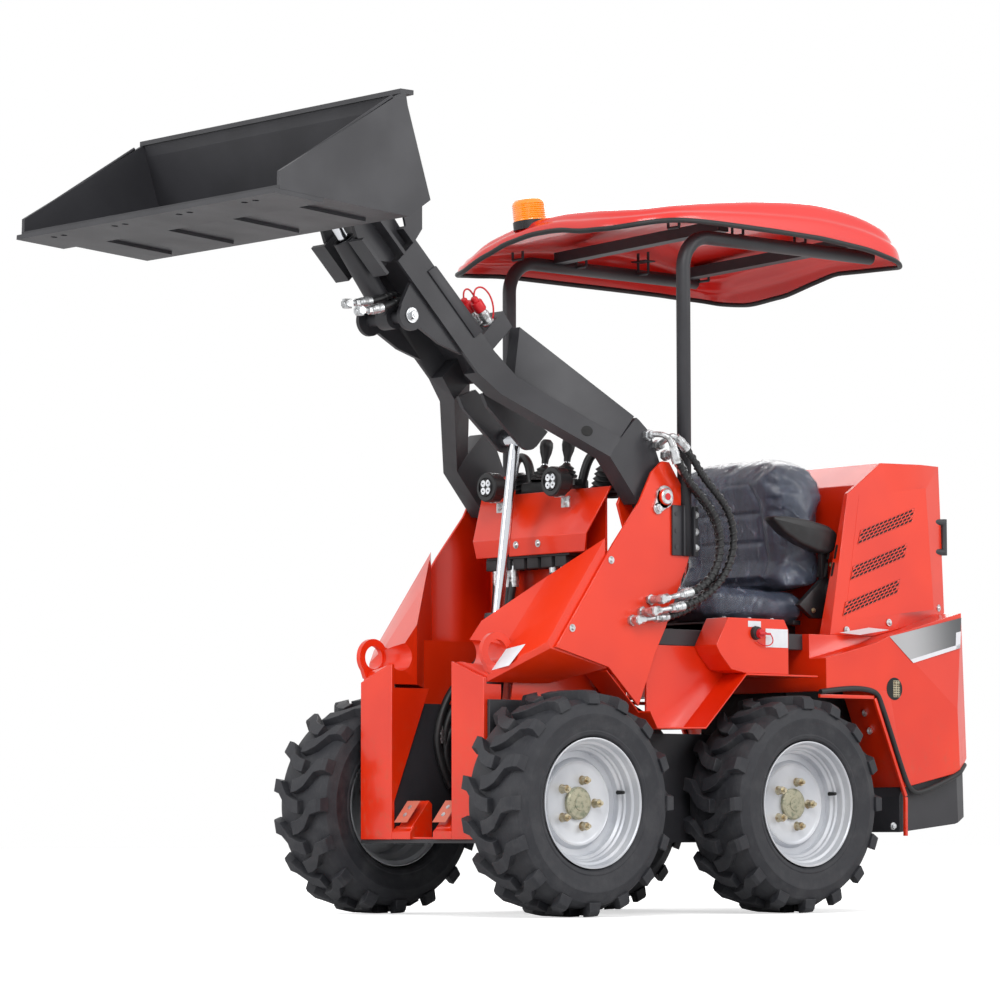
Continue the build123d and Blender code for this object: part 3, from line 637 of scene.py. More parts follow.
roof = {"front": 0.168, "rear": -0.903, "half": 0.429, "frontCorner": 0.18, "rearCorner": 0.13, "perSide": 12,
        # heights along each edge: of the rim, then of the shoulder above it
        "rim": {"near": [(-0.905, 1.782), (-0.8, 1.800), (-0.7, 1.818), (-0.6, 1.827), (-0.5, 1.834),
                         (-0.3, 1.8375), (-0.1, 1.839), (0.0, 1.8366), (0.1, 1.8305), (0.17, 1.821)],
                "far": [(-0.905, 1.769), (-0.7, 1.7756), (-0.5, 1.777), (-0.1, 1.779), (0.0, 1.772),
                        (0.1, 1.765), (0.17, 1.758)],
                "front": [(-0.43, 1.752), (-0.3, 1.755), (-0.2, 1.788), (-0.1, 1.816), (0.0, 1.829), (0.1, 1.830),
                          (0.2, 1.816), (0.3, 1.813), (0.35, 1.816), (0.43, 1.821)],
                "rear": [(-0.43, 1.766), (-0.35, 1.754), (-0.25, 1.745), (-0.1, 1.758), (0.0, 1.781),
                         (0.1, 1.802), (0.2, 1.799), (0.3, 1.797), (0.43, 1.790)]},
        "shoulder": {"near": [(-0.905, 1.855), (-0.8, 1.893), (-0.7, 1.919), (-0.6, 1.932), (-0.5, 1.936),
                              (-0.4, 1.930), (-0.3, 1.922), (-0.2, 1.911), (-0.1, 1.898), (0.0, 1.8845),
                              (0.1, 1.869), (0.17, 1.860)],
                     "far": [(-0.905, 1.820), (-0.7, 1.870), (-0.5, 1.885), (-0.2, 1.865), (0.0, 1.840),
                             (0.17, 1.800)],
                     "front": [(-0.43, 1.795), (-0.3, 1.802), (-0.2, 1.842), (-0.1, 1.862), (0.0, 1.876),
                               (0.1, 1.880), (0.2, 1.876), (0.3, 1.869), (0.43, 1.862)],
                     "rear": [(-0.43, 1.820), (-0.2, 1.850), (0.0, 1.865), (0.2, 1.870), (0.43, 1.858)]}}


def between(table, value):
    # height read from a table of (place, height), with eased steps
    for (a, low), (b, high) in zip(table, table[1:]):
        if value <= b:
            share = min(1, max(0, (value - a) / (b - a)))
            share = share * share * (3 - 2 * share) * 0.6 + share * 0.4
            return low + (high - low) * share
    return table[-1][1]


def roofOutline(inset):
    # rounded rectangle round the roof, as (x, y) points
    x0, x1 = roof["rear"] + inset, roof["front"] - inset
    half = roof["half"] - inset
    ahead, behind = (max(0.03, roof[name] - inset * 0.5) for name in ("frontCorner", "rearCorner"))
    corners = [(x1 - ahead, half - ahead, ahead, 0), (x0 + behind, half - behind, behind, 90),
               (x0 + behind, behind - half, behind, 180), (x1 - ahead, ahead - half, ahead, 270)]
    points = []
    for index, (cx, cy, radius, start) in enumerate(corners):
        for step in range(7):
            turn = math.radians(start + 90 * step / 6)
            points.append((cx + radius * math.cos(turn), cy + radius * math.sin(turn)))
        nextX, nextY, nextRadius, nextStart = corners[(index + 1) % 4]
        turn = math.radians(nextStart)
        goal = (nextX + nextRadius * math.cos(turn), nextY + nextRadius * math.sin(turn))
        last = points[-1]
        for step in range(1, roof["perSide"]):
            share = step / roof["perSide"]
            points.append((last[0] + (goal[0] - last[0]) * share, last[1] + (goal[1] - last[1]) * share))
    return points


def roofHeight(line, x, y):
    # heights of the four edges, weighted by how near each edge is
    gaps = {"front": roof["front"] - x, "rear": x - roof["rear"], "near": roof["half"] - y,
            "far": y + roof["half"]}
    weights = {name: 1 / (gap + 0.02) ** 2 for name, gap in gaps.items()}
    total = sum(weights.values())
    return sum(between(roof[line][name], x if name in ("near", "far") else y) * weight
               for name, weight in weights.items()) / total


def makeRoof():
    bm = bmesh.new()
    rings = []
    # inset from the rim, share of the way from the rim's height to the shoulder, then the rise of the dome
    for inset, share, rise in ((0.0, 0.0, 0), (0.003, 0.35, 0), (0.007, 0.52, 0), (0.016, 0.58, 0),
                               (0.020, 0.80, 0), (0.030, 0.97, 0), (0.050, 1.0, 0.004), (0.10, 1.0, 0.008),
                               (0.18, 1.0, 0.012), (0.28, 1.0, 0.014), (0.36, 1.0, 0.015)):
        loop = []
        for (x, y), (x0, y0) in zip(roofOutline(inset), roofOutline(0)):
            low = roofHeight("rim", x0, y0)
            high = roofHeight("shoulder", x, y) + rise
            loop.append(bm.verts.new((x, y, low + (high - low) * share)))
        rings.append([bm.edges.new(pair) for pair in zip(loop, loop[1:] + loop[:1])])
    for first, second in zip(rings, rings[1:]):
        bmesh.ops.bridge_loops(bm, edges=first + second)
    bmesh.ops.holes_fill(bm, edges=rings[-1], sides=0)
    bmesh.ops.triangulate(bm, faces=[face for face in bm.faces if len(face.verts) > 4])
    shell = piece("roofShell", bm, finish["canopy_shell"], "root", 60)
    wall = shell.modifiers.new("wall", "SOLIDIFY")
    wall.thickness, wall.offset = 0.005, -1
    smooth = shell.modifiers.new("smooth", "SUBSURF")
    smooth.levels = smooth.render_levels = 2
    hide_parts("canopy")
    outline = [(x, y, roofHeight("rim", x, y) + 0.001) for x, y in roofOutline(0.002)]
    curve = bpy.data.curves.new("roofSeal", "CURVE")
    curve.dimensions = "3D"
    curve.bevel_depth, curve.bevel_resolution, curve.resolution_u = 0.0070, 3, 3
    spline = curve.splines.new("NURBS")
    spline.points.add(len(outline) - 1)
    for point, place in zip(spline.points, outline):
        point.co = (*place, 1)
    spline.order_u = 3
    spline.use_cyclic_u = True
    curve.materials.append(finish["black_rubber"])
    seal = bpy.data.objects.new("roofSeal", curve)
    bpy.context.scene.collection.objects.link(seal)
    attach(seal, "root")
    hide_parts("canopy_trim")


makeRoof()
print("roof made")

soft = {"width": 0.0014, "segments": 2, "angle": 28, "painted": {"front_crossmember": "red_paint"},
        "hoodFrom": -1.06, "hoodRear": 0.036, "hoodIn": 0.0096,
        "nodes": ["front_pillars", "front_crossmember", "slope_covers", "arm_tower_left", "arm_tower_right",
                  "mid_fenders", "side_consoles", "dash_cover", "rear_body", "rear_skirt", "engine_hood",
                  "main_frame", "seat_base", "hood_handle", "lift_arm", "arm_head", "hose_cover", "bucket",
                  "cutting_edge", "coupler", "lift_barrel", "tilt_barrel"]}


def makeSoftEdges():
    # a merged copy of each hard piece with its edges eased
    for name in soft["nodes"]:
        bm = bmesh.new()
        bm.from_mesh(nodes[name].data)
        bmesh.ops.remove_doubles(bm, verts=bm.verts, dist=2e-5)
        bmesh.ops.dissolve_limit(bm, angle_limit=math.radians(0.5), verts=bm.verts, edges=bm.edges)
        if name == "engine_hood":
            for vert in bm.verts:
                if vert.co.x < soft["hoodFrom"]:
                    vert.co += Vector((-soft["hoodRear"], math.copysign(soft["hoodIn"], -vert.co.y), 0))
        slotName = soft["painted"].get(name, slotOf[name])
        made = piece(name + "_eased", bm, finish[slotName], body_of(nodes[name])[0],
                     soft["angle"], keepNormals=True)
        edge = made.modifiers.new("easedEdges", "BEVEL")
        edge.width, edge.segments, edge.limit_method = soft["width"], soft["segments"], "ANGLE"
        edge.angle_limit = math.radians(soft["angle"])
        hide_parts(name)


makeSoftEdges()
print("hard edges eased:", len(soft["nodes"]))

seat = {"backOutline": [(-0.566, 0.888), (-0.688, 0.896), (-0.716, 0.940), (-0.722, 1.195), (-0.692, 1.248),
                        (-0.604, 1.252), (-0.556, 1.226), (-0.574, 1.116), (-0.600, 0.966)],
        "cushionOutline": [(-0.284, 0.806), (-0.276, 0.838), (-0.304, 0.874), (-0.420, 0.870),
                           (-0.560, 0.864), (-0.676, 0.868), (-0.684, 0.806)],
        "half": 0.220, "corner": 0.022, "voxel": 0.006, "pressure": 4.0, "frames": 20, "cap": 0.016,
        "backSeams": [[(-0.135, 0.93), (-0.128, 1.13), (-0.095, 1.185), (0.095, 1.185), (0.128, 1.13),
                       (0.135, 0.93)], [(-0.13, 1.02), (0.13, 1.02)], [(-0.128, 1.10), (0.128, 1.10)]],
        "cushionSeams": [[(-0.33, -0.135), (-0.62, -0.128)], [(-0.33, 0.135), (-0.62, 0.128)],
                         [(-0.335, -0.135), (-0.335, 0.135)], [(-0.45, -0.13), (-0.45, 0.13)]],
        "seamDepth": 0.007, "seamWidth": 0.006}


def padForm(outline, cuts):
    # an upholstered block from its side outline, its corners cut and its edges rounded
    bm = bmesh.new()
    face = bm.faces.new([bm.verts.new((x, -seat["half"], z)) for x, z in outline])
    far = [item for item in bmesh.ops.extrude_face_region(bm, geom=[face])["geom"]
           if isinstance(item, bmesh.types.BMVert)]
    bmesh.ops.translate(bm, verts=far, vec=(0, 2 * seat["half"], 0))
    for place, normal in cuts:
        for side in (1, -1):
            cut = bmesh.ops.bisect_plane(bm, geom=bm.verts[:] + bm.edges[:] + bm.faces[:],
                                         plane_co=(place[0], side * place[1], place[2]),
                                         plane_no=(normal[0], side * normal[1], normal[2]), clear_outer=True)
            rim = [item for item in cut["geom_cut"] if isinstance(item, bmesh.types.BMEdge)]
            bmesh.ops.holes_fill(bm, edges=rim, sides=0)
    bmesh.ops.recalc_face_normals(bm, faces=bm.faces)
    sharp = [edge for edge in bm.edges if edge.is_manifold and edge.calc_face_angle() > 0.5]
    bmesh.ops.bevel(bm, geom=sharp, offset=seat["corner"], segments=3, profile=0.5, affect="EDGES",
                    material=-1, clamp_overlap=True)
    return bm


def keepShape(made):
    # the mesh as its modifiers leave it, with none of them left
    graph = bpy.context.evaluated_depsgraph_get()
    result = bpy.data.meshes.new_from_object(made.evaluated_get(graph))
    made.modifiers.clear()
    old = made.data
    made.data = result
    bpy.data.meshes.remove(old)


def inflate(made):
    # swells a closed form with air pressure, no point further than the cap
    grid = made.modifiers.new("grid", "REMESH")
    grid.mode, grid.voxel_size = "VOXEL", seat["voxel"]
    keepShape(made)
    start = [vert.co.copy() for vert in made.data.vertices]
    cloth = made.modifiers.new("air", "CLOTH")
    cloth.settings.use_pressure = True
    cloth.settings.uniform_pressure_force = seat["pressure"]
    cloth.settings.effector_weights.gravity = 0
    scene = bpy.context.scene
    for number in range(1, seat["frames"] + 1):
        scene.frame_set(number)
    graph = bpy.context.evaluated_depsgraph_get()
    blown = [vert.co.copy() for vert in made.evaluated_get(graph).data.vertices]
    made.modifiers.remove(cloth)
    scene.frame_set(1)
    for vert, old, new in zip(made.data.vertices, start, blown):
        move = new - old
        if move.length > seat["cap"]:
            move.length = seat["cap"]
        vert.co = old + move


def toSegment(point, first, second):
    # distance in a plane from a point to a seam's run
    along = second - first
    share = max(0.0, min(1.0, (point - first).dot(along) / along.length_squared))
    return (point - first - along * share).length


def sewSeams(made, seams, axes, outward):
    # presses the sewn channels into the side of the pad that faces outward
    bm = bmesh.new()
    bm.from_mesh(made.data)
    bm.normal_update()
    for _ in range(3):
        bmesh.ops.smooth_vert(bm, verts=bm.verts, factor=0.5, use_axis_x=True, use_axis_y=True, use_axis_z=True)
    runs = [(Vector(a), Vector(b)) for seam in seams for a, b in zip(seam, seam[1:])]
    for vert in bm.verts:
        if vert.normal.dot(Vector(outward)) < 0.35:
            continue
        flat = Vector((vert.co[axes[0]], vert.co[axes[1]]))
        near = min(toSegment(flat, first, second) for first, second in runs)
        vert.co -= vert.normal * seat["seamDepth"] * math.exp(-(near / seat["seamWidth"]) ** 2)
    bm.to_mesh(made.data)
    bm.free()
    made.data.polygons.foreach_set("use_smooth", [True] * len(made.data.polygons))
    finer = made.modifiers.new("finer", "SUBSURF")
    finer.levels = finer.render_levels = 1
    keepShape(made)


film = {"gap": 0.0022, "crease": 0.0055, "coarse": 9.0, "fine": 26.0}


def makeFilm(source, name, stretch, flat):
    # loose clear film over a pad, thrown into creases
    made = bpy.data.objects.new(name, source.data.copy())
    bpy.context.scene.collection.objects.link(made)
    made.data.materials.clear()
    made.data.materials.append(extra["wrap"])
    made.data.update()
    normals = [vert.normal.copy() for vert in made.data.vertices]
    for vert, normal in zip(made.data.vertices, normals):
        place = Vector([a * b for a, b in zip(vert.co, stretch)])
        broad = 1 - min(1, abs(noise.noise(place * film["coarse"])) * 4)
        fine = 1 - min(1, abs(noise.noise(place * film["fine"] + Vector((7, 3, 1)))) * 3)
        vert.co += normal * (film["gap"] + film["crease"] * broad ** 3 * 0.7 + film["crease"] * 0.3 * fine ** 2)
    bm = bmesh.new()
    bm.from_mesh(made.data)
    low = [face for face in bm.faces if face.calc_center_median().z < flat["floor"]]
    bmesh.ops.delete(bm, geom=low, context="FACES")
    area = sum(face.calc_area() for face in bm.faces)
    bm.to_mesh(made.data)
    bm.free()
    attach(made, "root")
    width = flat["width"]
    area / width
    return made


def makeSeat():
    cuts = [((-0.65, 0.220, 1.150), (0, 0.92, 0.39)), ((-0.65, 0.190, 1.225), (0, 0.62, 0.78)),
            ((-0.65, 0.150, 1.246), (0, 0.28, 0.96))]
    back = piece("seatBackPad", padForm(seat["backOutline"], cuts), finish["seat_vinyl"], None, 180)
    inflate(back)
    sewSeams(back, seat["backSeams"], (1, 2), (1, 0, 0.2))
    cuts = [((-0.300, 0.200, 0.85), (0.75, 0.66, 0)), ((-0.660, 0.205, 0.85), (-0.75, 0.66, 0))]
    cushion = piece("seatCushionPad", padForm(seat["cushionOutline"], cuts), finish["seat_vinyl"], None, 180)
    inflate(cushion)
    sewSeams(cushion, seat["cushionSeams"], (0, 1), (0, 0, 1))
    for made, node in ((back, "seat_back"), (cushion, "seat_cushion")):
        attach(made, "root")
        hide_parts(node)
    makeFilm(back, "backFilm", (1.0, 1.6, 0.7), {"floor": 0.90, "width": 1.1})
    makeFilm(cushion, "cushionFilm", (0.8, 1.6, 1.0), {"floor": 0.812, "width": 1.1})


makeSeat()
print("seat made")

trim = {"side": 0.238, "bracket": [(-0.585, 0.842), (-0.632, 0.880), (-0.690, 0.925),
                                                      (-0.742, 0.905), (-0.758, 0.850), (-0.728, 0.808),
                                                      (-0.640, 0.806)],
        "disc": (-0.725, 0.884), "discRadius": 0.040,
        "strut": [(-0.700, 0.915), (-0.706, 1.030), (-0.670, 1.030), (-0.676, 0.915)],
        "pad": [(-0.462, 1.080), (-0.474, 1.064), (-0.516, 1.034), (-0.575, 1.008), (-0.640, 0.990),
                (-0.690, 0.986), (-0.711, 1.000), (-0.715, 1.045), (-0.680, 1.064), (-0.600, 1.077),
                (-0.520, 1.083)]}


def makeSeatTrim():
    bm = bmesh.new()
    side = trim["side"]
    addPlate(bm, [(x, side, z) for x, z in trim["pad"]], (0, 1, 0), 0.046, 0.010)
    mirrored(bm)
    pads = piece("armPads", bm, extra["softBlack"], "root", 50)
    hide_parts("armrests")
    bm = bmesh.new()
    addPlate(bm, [(x, side, z) for x, z in trim["bracket"]], (0, 1, 0), 0.020, 0.004)
    addPlate(bm, [(x, side + 0.004, z) for x, z in trim["strut"]], (0, 1, 0), 0.016, 0.003)
    x, z = trim["disc"]
    addRod(bm, (x, side + 0.018, z), (x, side + 0.038, z), trim["discRadius"], trim["discRadius"] - 0.003, 40)
    addRod(bm, (x, side + 0.036, z), (x, side + 0.040, z), 0.031, 0.029, 40)
    addRod(bm, (-0.690, 0.225, 1.020), (-0.690, side + 0.004, 1.020), 0.016, segments=20)
    mirrored(bm)
    piece("seatBrackets", bm, extra["softBlack"], "root", 35)
    bm = bmesh.new()
    for point in ((-0.712, side + 0.020, 0.957), (-0.640, side + 0.020, 0.828), (-0.690, side + 0.020, 0.832)):
        addBolt(bm, point, (0, 1, 0), 0.0055)
    mirrored(bm)
    piece("bracketBolts", bm, extra["goldZinc"], "root", 30)
    bm = bmesh.new()
    addBlock(bm, (-0.655, -0.175, 0.7575), (-0.300, 0.175, 0.7885), 0.004)
    for x in (-0.62, -0.34):
        addBlock(bm, (x - 0.015, -0.215, 0.7885), (x + 0.015, 0.215, 0.802), 0.003)
    piece("seatSlides", bm, extra["softBlack"], "root", 30)


makeSeatTrim()
print("seat trim made")

hose = {"radius": 0.0092, "wrap": 0.0046, "wrapOut": 0.0080, "pitch": 0.0205, "perTurn": 9,
        "plate": 0.360, "lengths": (0.480, 0.609, 0.567),
        # place along Y, fitting on the plate, route up to the arm, elbow on the arm
        "runs": [
            (0.409, (0.077, 0.828),
             [(-0.030, 0.850), (-0.070, 0.866), (-0.108, 0.898), (-0.132, 0.940), (-0.140, 0.990),
              (-0.128, 1.038), (-0.100, 1.078), (-0.062, 1.112), (-0.022, 1.144), (0.006, 1.180),
              (0.030, 1.218)],
             [(0.030, 0.409, 1.218), (0.037, 0.408, 1.243), (0.050, 0.402, 1.262), (0.062, 0.372, 1.268),
              (0.064, 0.345, 1.266)]),
            (0.409, (0.107, 0.795),
             [(0.000, 0.812), (-0.048, 0.826), (-0.096, 0.850), (-0.140, 0.886), (-0.172, 0.930),
              (-0.188, 0.982), (-0.184, 1.036), (-0.158, 1.084), (-0.118, 1.122), (-0.074, 1.158),
              (-0.038, 1.206), (0.008, 1.248)],
             [(0.008, 0.409, 1.248), (0.022, 0.408, 1.260), (0.034, 0.398, 1.262), (0.034, 0.372, 1.250),
              (0.030, 0.345, 1.241)]),
            (0.385, (0.143, 0.772),
             [(0.036, 0.784), (-0.014, 0.796), (-0.062, 0.818), (-0.104, 0.850), (-0.136, 0.892),
              (-0.154, 0.942), (-0.158, 0.994), (-0.142, 1.044), (-0.110, 1.084), (-0.070, 1.118),
              (-0.034, 1.154), (-0.008, 1.194)],
             [(-0.008, 0.385, 1.194), (0.002, 0.383, 1.210), (0.004, 0.368, 1.218), (0.000, 0.345, 1.216)]),
        ]}


def splineLine(points):
    # points along the smooth line that a NURBS spline draws from its control points
    made = curvePiece("line", points, 0, finish["black_rubber"], None, resolution=24)
    graph = bpy.context.evaluated_depsgraph_get()
    mesh = bpy.data.meshes.new_from_object(made.evaluated_get(graph))
    line = [vert.co.copy() for vert in mesh.vertices]
    bpy.data.objects.remove(made)
    bpy.data.meshes.remove(mesh)
    return line


def coil(line, radius, pitch, perTurn):
    # a spiral round a smooth line
    side = (line[1] - line[0]).normalized().orthogonal().normalized()
    spiral, walked, due = [], 0.0, 0.0
    for first, second in zip(line, line[1:]):
        step = second - first
        if step.length < 1e-7:
            continue
        ahead = step.normalized()
        side = (side - ahead * side.dot(ahead)).normalized()
        across = ahead.cross(side)
        while due <= walked + step.length:
            turn = 2 * math.pi * due / pitch
            middle = first + ahead * (due - walked)
            spiral.append(middle + (side * math.cos(turn) + across * math.sin(turn)) * radius)
            due += pitch / perTurn
        walked += step.length
    return spiral


def asMesh(made):
    # a curve turned to a mesh of the same name
    graph = bpy.context.evaluated_depsgraph_get()
    mesh = bpy.data.meshes.new_from_object(made.evaluated_get(graph))
    name, look = made.name, made.data.materials[0]
    bpy.data.objects.remove(made)
    solid = bpy.data.objects.new(name, mesh)
    bpy.context.scene.collection.objects.link(solid)
    mesh.materials.clear()
    mesh.materials.append(look)
    mesh.polygons.foreach_set("use_smooth", [True] * len(mesh.polygons))
    return solid


def addFerrule(bm, start, end):
    # a crimped sleeve with two rings and a hexagon at its foot
    start, end = Vector(start), Vector(end)
    ahead = (end - start).normalized()
    addRod(bm, start, end, 0.0122, segments=24)
    for share in (0.25, 0.7):
        middle = start.lerp(end, share)
        addRod(bm, middle - ahead * 0.003, middle + ahead * 0.003, 0.0132, segments=24)
    addRod(bm, start - ahead * 0.011, start, 0.0115, segments=6)


def makeArmHoses():
    fixed = bmesh.new()
    moving = bmesh.new()
    plate = hose["plate"]
    for number, (y, foot, route, elbow) in enumerate(hose["runs"], 1):
        points = [(x, y, z) for x, z in route]
        line = splineLine(points)
        core = curvePiece(f"armHose{number}", points, hose["radius"], finish["black_rubber"], None)
        wrap = curvePiece(f"armHoseWrap{number}", coil(line, hose["wrapOut"], hose["pitch"], hose["perTurn"]),
                          hose["wrap"], extra["braid"], None, resolution=2)
        wrap.data.bevel_resolution = 1
        core, wrap = asMesh(core), asMesh(wrap)
        for bent in (core, wrap):
            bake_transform(bent, "root", "arm", (-0.12, y, 1.06), (-0.02, y, 1.18))
        low = Vector(points[0])
        base = Vector((foot[0], y, foot[1]))
        back = (low - base).normalized()
        sleeve = low - back * 0.036
        addFerrule(fixed, sleeve, low)
        addRod(fixed, base + back * 0.020, sleeve, 0.0062, 0.0078, 20)
        addRod(fixed, base + back * 0.004, base + back * 0.022, 0.0120, segments=6)
        addRod(fixed, (foot[0], plate + 0.0005, foot[1]), (foot[0], plate + 0.009, foot[1]), 0.0150, segments=6)
        addRod(fixed, (foot[0], plate + 0.009, foot[1]), (foot[0], y + 0.010, foot[1]), 0.0105, segments=22)
        addRod(fixed, (foot[0], y - 0.012, foot[1]), (foot[0], y + 0.006, foot[1]), 0.0130, segments=6)
        start, ahead = Vector(elbow[0]), (Vector(elbow[1]) - Vector(elbow[0])).normalized()
        addFerrule(moving, start + ahead * 0.006, start - ahead * 0.030)
        bend = asMesh(curvePiece(f"armElbow{number}", [start - ahead * 0.004] + elbow[1:], 0.0078,
                                 finish["zinc"], None))
        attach(bend, "arm")
        x, _, z = elbow[-1]
        addRod(moving, (x, 0.337, z), (x, 0.350, z), 0.0150, segments=6)
        addRod(moving, (x, 0.350, z), (x, 0.362, z), 0.0118, segments=6)
    fixed = piece("plateFittings", fixed, finish["zinc"], "root", 30)
    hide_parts("tower_hoses")
    piece("armFittings", moving, finish["zinc"], "arm", 30)


makeArmHoses()
print("arm hoses made")

inner = {"radius": 0.0105, "runs": [
    [(0.150, -0.165, 0.925), (0.155, -0.168, 0.800), (0.200, -0.150, 0.640), (0.230, -0.120, 0.480)],
    [(0.150, -0.120, 0.925), (0.152, -0.119, 0.800), (0.190, -0.119, 0.700), (0.290, -0.119, 0.620),
     (0.368, -0.119, 0.530), (0.384, -0.119, 0.450), (0.350, -0.119, 0.370), (0.290, -0.119, 0.320)],
    [(0.150, -0.095, 0.925), (0.160, -0.105, 0.780), (0.240, -0.117, 0.690), (0.350, -0.117, 0.610),
     (0.400, -0.117, 0.520), (0.410, -0.117, 0.430), (0.360, -0.117, 0.340)],
    [(0.150, 0.065, 0.925), (0.165, 0.068, 0.800), (0.240, 0.078, 0.660), (0.260, 0.085, 0.520)],
    [(0.150, 0.110, 0.925), (0.160, 0.115, 0.800), (0.230, 0.112, 0.640), (0.250, 0.108, 0.480)],
    [(0.180, -0.117, 0.560), (0.300, -0.117, 0.540), (0.370, -0.117, 0.480), (0.380, -0.117, 0.420),
     (0.350, -0.117, 0.360), (0.300, -0.117, 0.330)]]}


def makeInnerHoses():
    metal = bmesh.new()
    for number, points in enumerate(inner["runs"], 1):
        curvePiece(f"innerHose{number}", points, inner["radius"], finish["black_rubber"], "root")
        start = Vector(points[0])
        if start.z > 0.9:
            addFerrule(metal, start + Vector((0, 0, 0.012)), start + Vector((0, 0, -0.045)))
            addRod(metal, start + Vector((0, 0, 0.012)), start + Vector((0, 0, 0.034)), 0.0075, segments=18)
    addFerrule(metal, (0.3980, -0.1185, 0.490), (0.3960, -0.1185, 0.455))
    piece("innerFittings", metal, finish["zinc"], "root", 30)
    bm = bmesh.new()
    addBlock(bm, (0.105, -0.185, 0.966 - 0.012), (0.172, 0.150, 0.9655 - 0.004), 0.002)
    for index in range(6):
        y = -0.170 + index * 0.056
        addBlock(bm, (0.112, y - 0.022, 0.925), (0.168, y + 0.022, 0.956), 0.003)
    piece("valveBlock", bm, finish["engine_iron"], "root", 30)


makeInnerHoses()
print("inner hoses made")

vent = {"columns": 13, "rows": 4, "web": 0.17, "wall": 0.0009, "depth": 0.0006,
        # lower front corner of each group as (x, z), then its two edges
        "corners": [(-0.757 + 0.0385 * n, 1.013 - 0.1015 * n) for n in range(3)],
        "along": (-0.222, 0.0730), "up": (-0.0145, 0.0395),
        "cover": [(-0.690, 0.800), (-0.775, 1.150), (-1.045, 1.185), (-1.045, 0.840)]}


def hoodSide(x, z):
    # how far out the hood's leaning side is
    return 0.335 - 0.01122 * (x + 0.898) - 0.07798 * (z - 0.796)


def onHood(x, z, out=0.0):
    return Vector((x, hoodSide(x, z) + out, z))


def makeVents():
    sheet, back, cover = bmesh.new(), bmesh.new(), bmesh.new()
    addPlate(cover, [onHood(x, z, 0.0001) for x, z in vent["cover"]], (0, 1, 0.078), 0.0004)
    for x, z in vent["corners"]:
        corner = onHood(x, z, 0.0004)
        along = onHood(x + vent["along"][0], z + vent["along"][1], 0.0004) - corner
        up = onHood(x + vent["up"][0], z + vent["up"][1], 0.0004) - corner
        out = up.cross(along).normalized()
        if out.y < 0:
            out = -out
        step, rise = along / vent["columns"], up / vent["rows"]
        # a thin near-black sheet behind each group of holes is painted shade for the pocket behind the panel
        addPlate(back, [corner, corner + along, corner + along + up, corner + up], out, vent["depth"])
        corner = corner + out * (vent["depth"] + vent["wall"])
        for row in range(vent["rows"]):
            # every other row starts half a hole later, between two blank halves
            half = row % 2
            spans = [(0.5 * half, vent["columns"] - half, True)]
            if half:
                spans += [(0.0, 0.5, False), (vent["columns"] - 0.5, 0.5, False)]
            for first, count, holed in spans:
                place = Matrix((step * count / 2, rise / 2, out)).transposed().to_4x4()
                place.translation = corner + step * (first + count / 2) + rise * (row + 0.5)
                grid = bmesh.ops.create_grid(sheet, x_segments=max(1, int(count)), y_segments=1, size=1,
                                             matrix=place)["verts"]
                if not holed:
                    continue
                cells = list({face for vert in grid for face in vert.link_faces})
                bmesh.ops.inset_individual(sheet, faces=cells, thickness=vent["web"] * rise.length)
                rims = list({vert for face in cells for vert in face.verts})
                bmesh.ops.delete(sheet, geom=cells, context="FACES_ONLY")
                bmesh.ops.bevel(sheet, geom=rims, offset=0.0024, segments=2, profile=0.5, affect="VERTICES",
                                material=-1)
    for made in (sheet, back, cover):
        mirrored(made)
    # the dark backs are painted shade in the pockets behind the vents
    piece("ventPocketShade", back, extra["dark"], "root", 30)
    piece("ventCovers", cover, finish["red_paint"], "root", 30)
    made = piece("hoodVents", sheet, finish["red_paint"], "root", 30)
    wall = made.modifiers.new("wall", "SOLIDIFY")
    wall.thickness, wall.offset = vent["wall"], 0


hood = {"slotRows": (0.990, 0.941), "slotSides": (0.165, 0.192, 0.219, 0.246, 0.273, 0.300),
        "slotHalf": 0.0045, "slotTall": 0.016,
        "bolts": [((-0.690, 0.337, 0.772), (0.01, 1, 0.08)), ((-1.130, 0.2725, 0.850), (-0.26, 0.96, 0)),
                  ((-0.860, 0.336, 0.798), (0.01, 1, 0.08))]}


def addSlot(bm, middle, across, up, half, tall, depth):
    # an upright slot with round ends
    middle, across, up = Vector(middle), Vector(across).normalized(), Vector(up).normalized()
    out = across.cross(up).normalized()
    ring = bmesh.ops.create_cone(bm, cap_ends=True, segments=16, radius1=half, radius2=half, depth=depth)["verts"]
    for vert in ring:
        lift = tall if vert.co.y > 1e-5 else -tall if vert.co.y < -1e-5 else 0
        vert.co = middle + across * vert.co.x + up * (vert.co.y + lift) + out * vert.co.z


def makeHoodTrim():
    # the slots are thin near-black discs on the hood, painted shade for the openings
    bm = bmesh.new()
    lean = Vector((-0.253, 0, 0.967))
    for z in hood["slotRows"]:
        x = -0.627 - 0.26196 * (z - 0.757)
        for y in hood["slotSides"]:
            for side in (1, -1):
                addSlot(bm, (x, side * y, z), (0, 1, 0), lean, hood["slotHalf"], hood["slotTall"], 0.0012)
    piece("hoodSlotShade", bm, extra["dark"], "root", 30)
    bm = bmesh.new()
    for point, direction in hood["bolts"]:
        addBolt(bm, point, direction, 0.0075, True)
    mirrored(bm)
    piece("hoodBolts", bm, finish["zinc"], "root", 30)


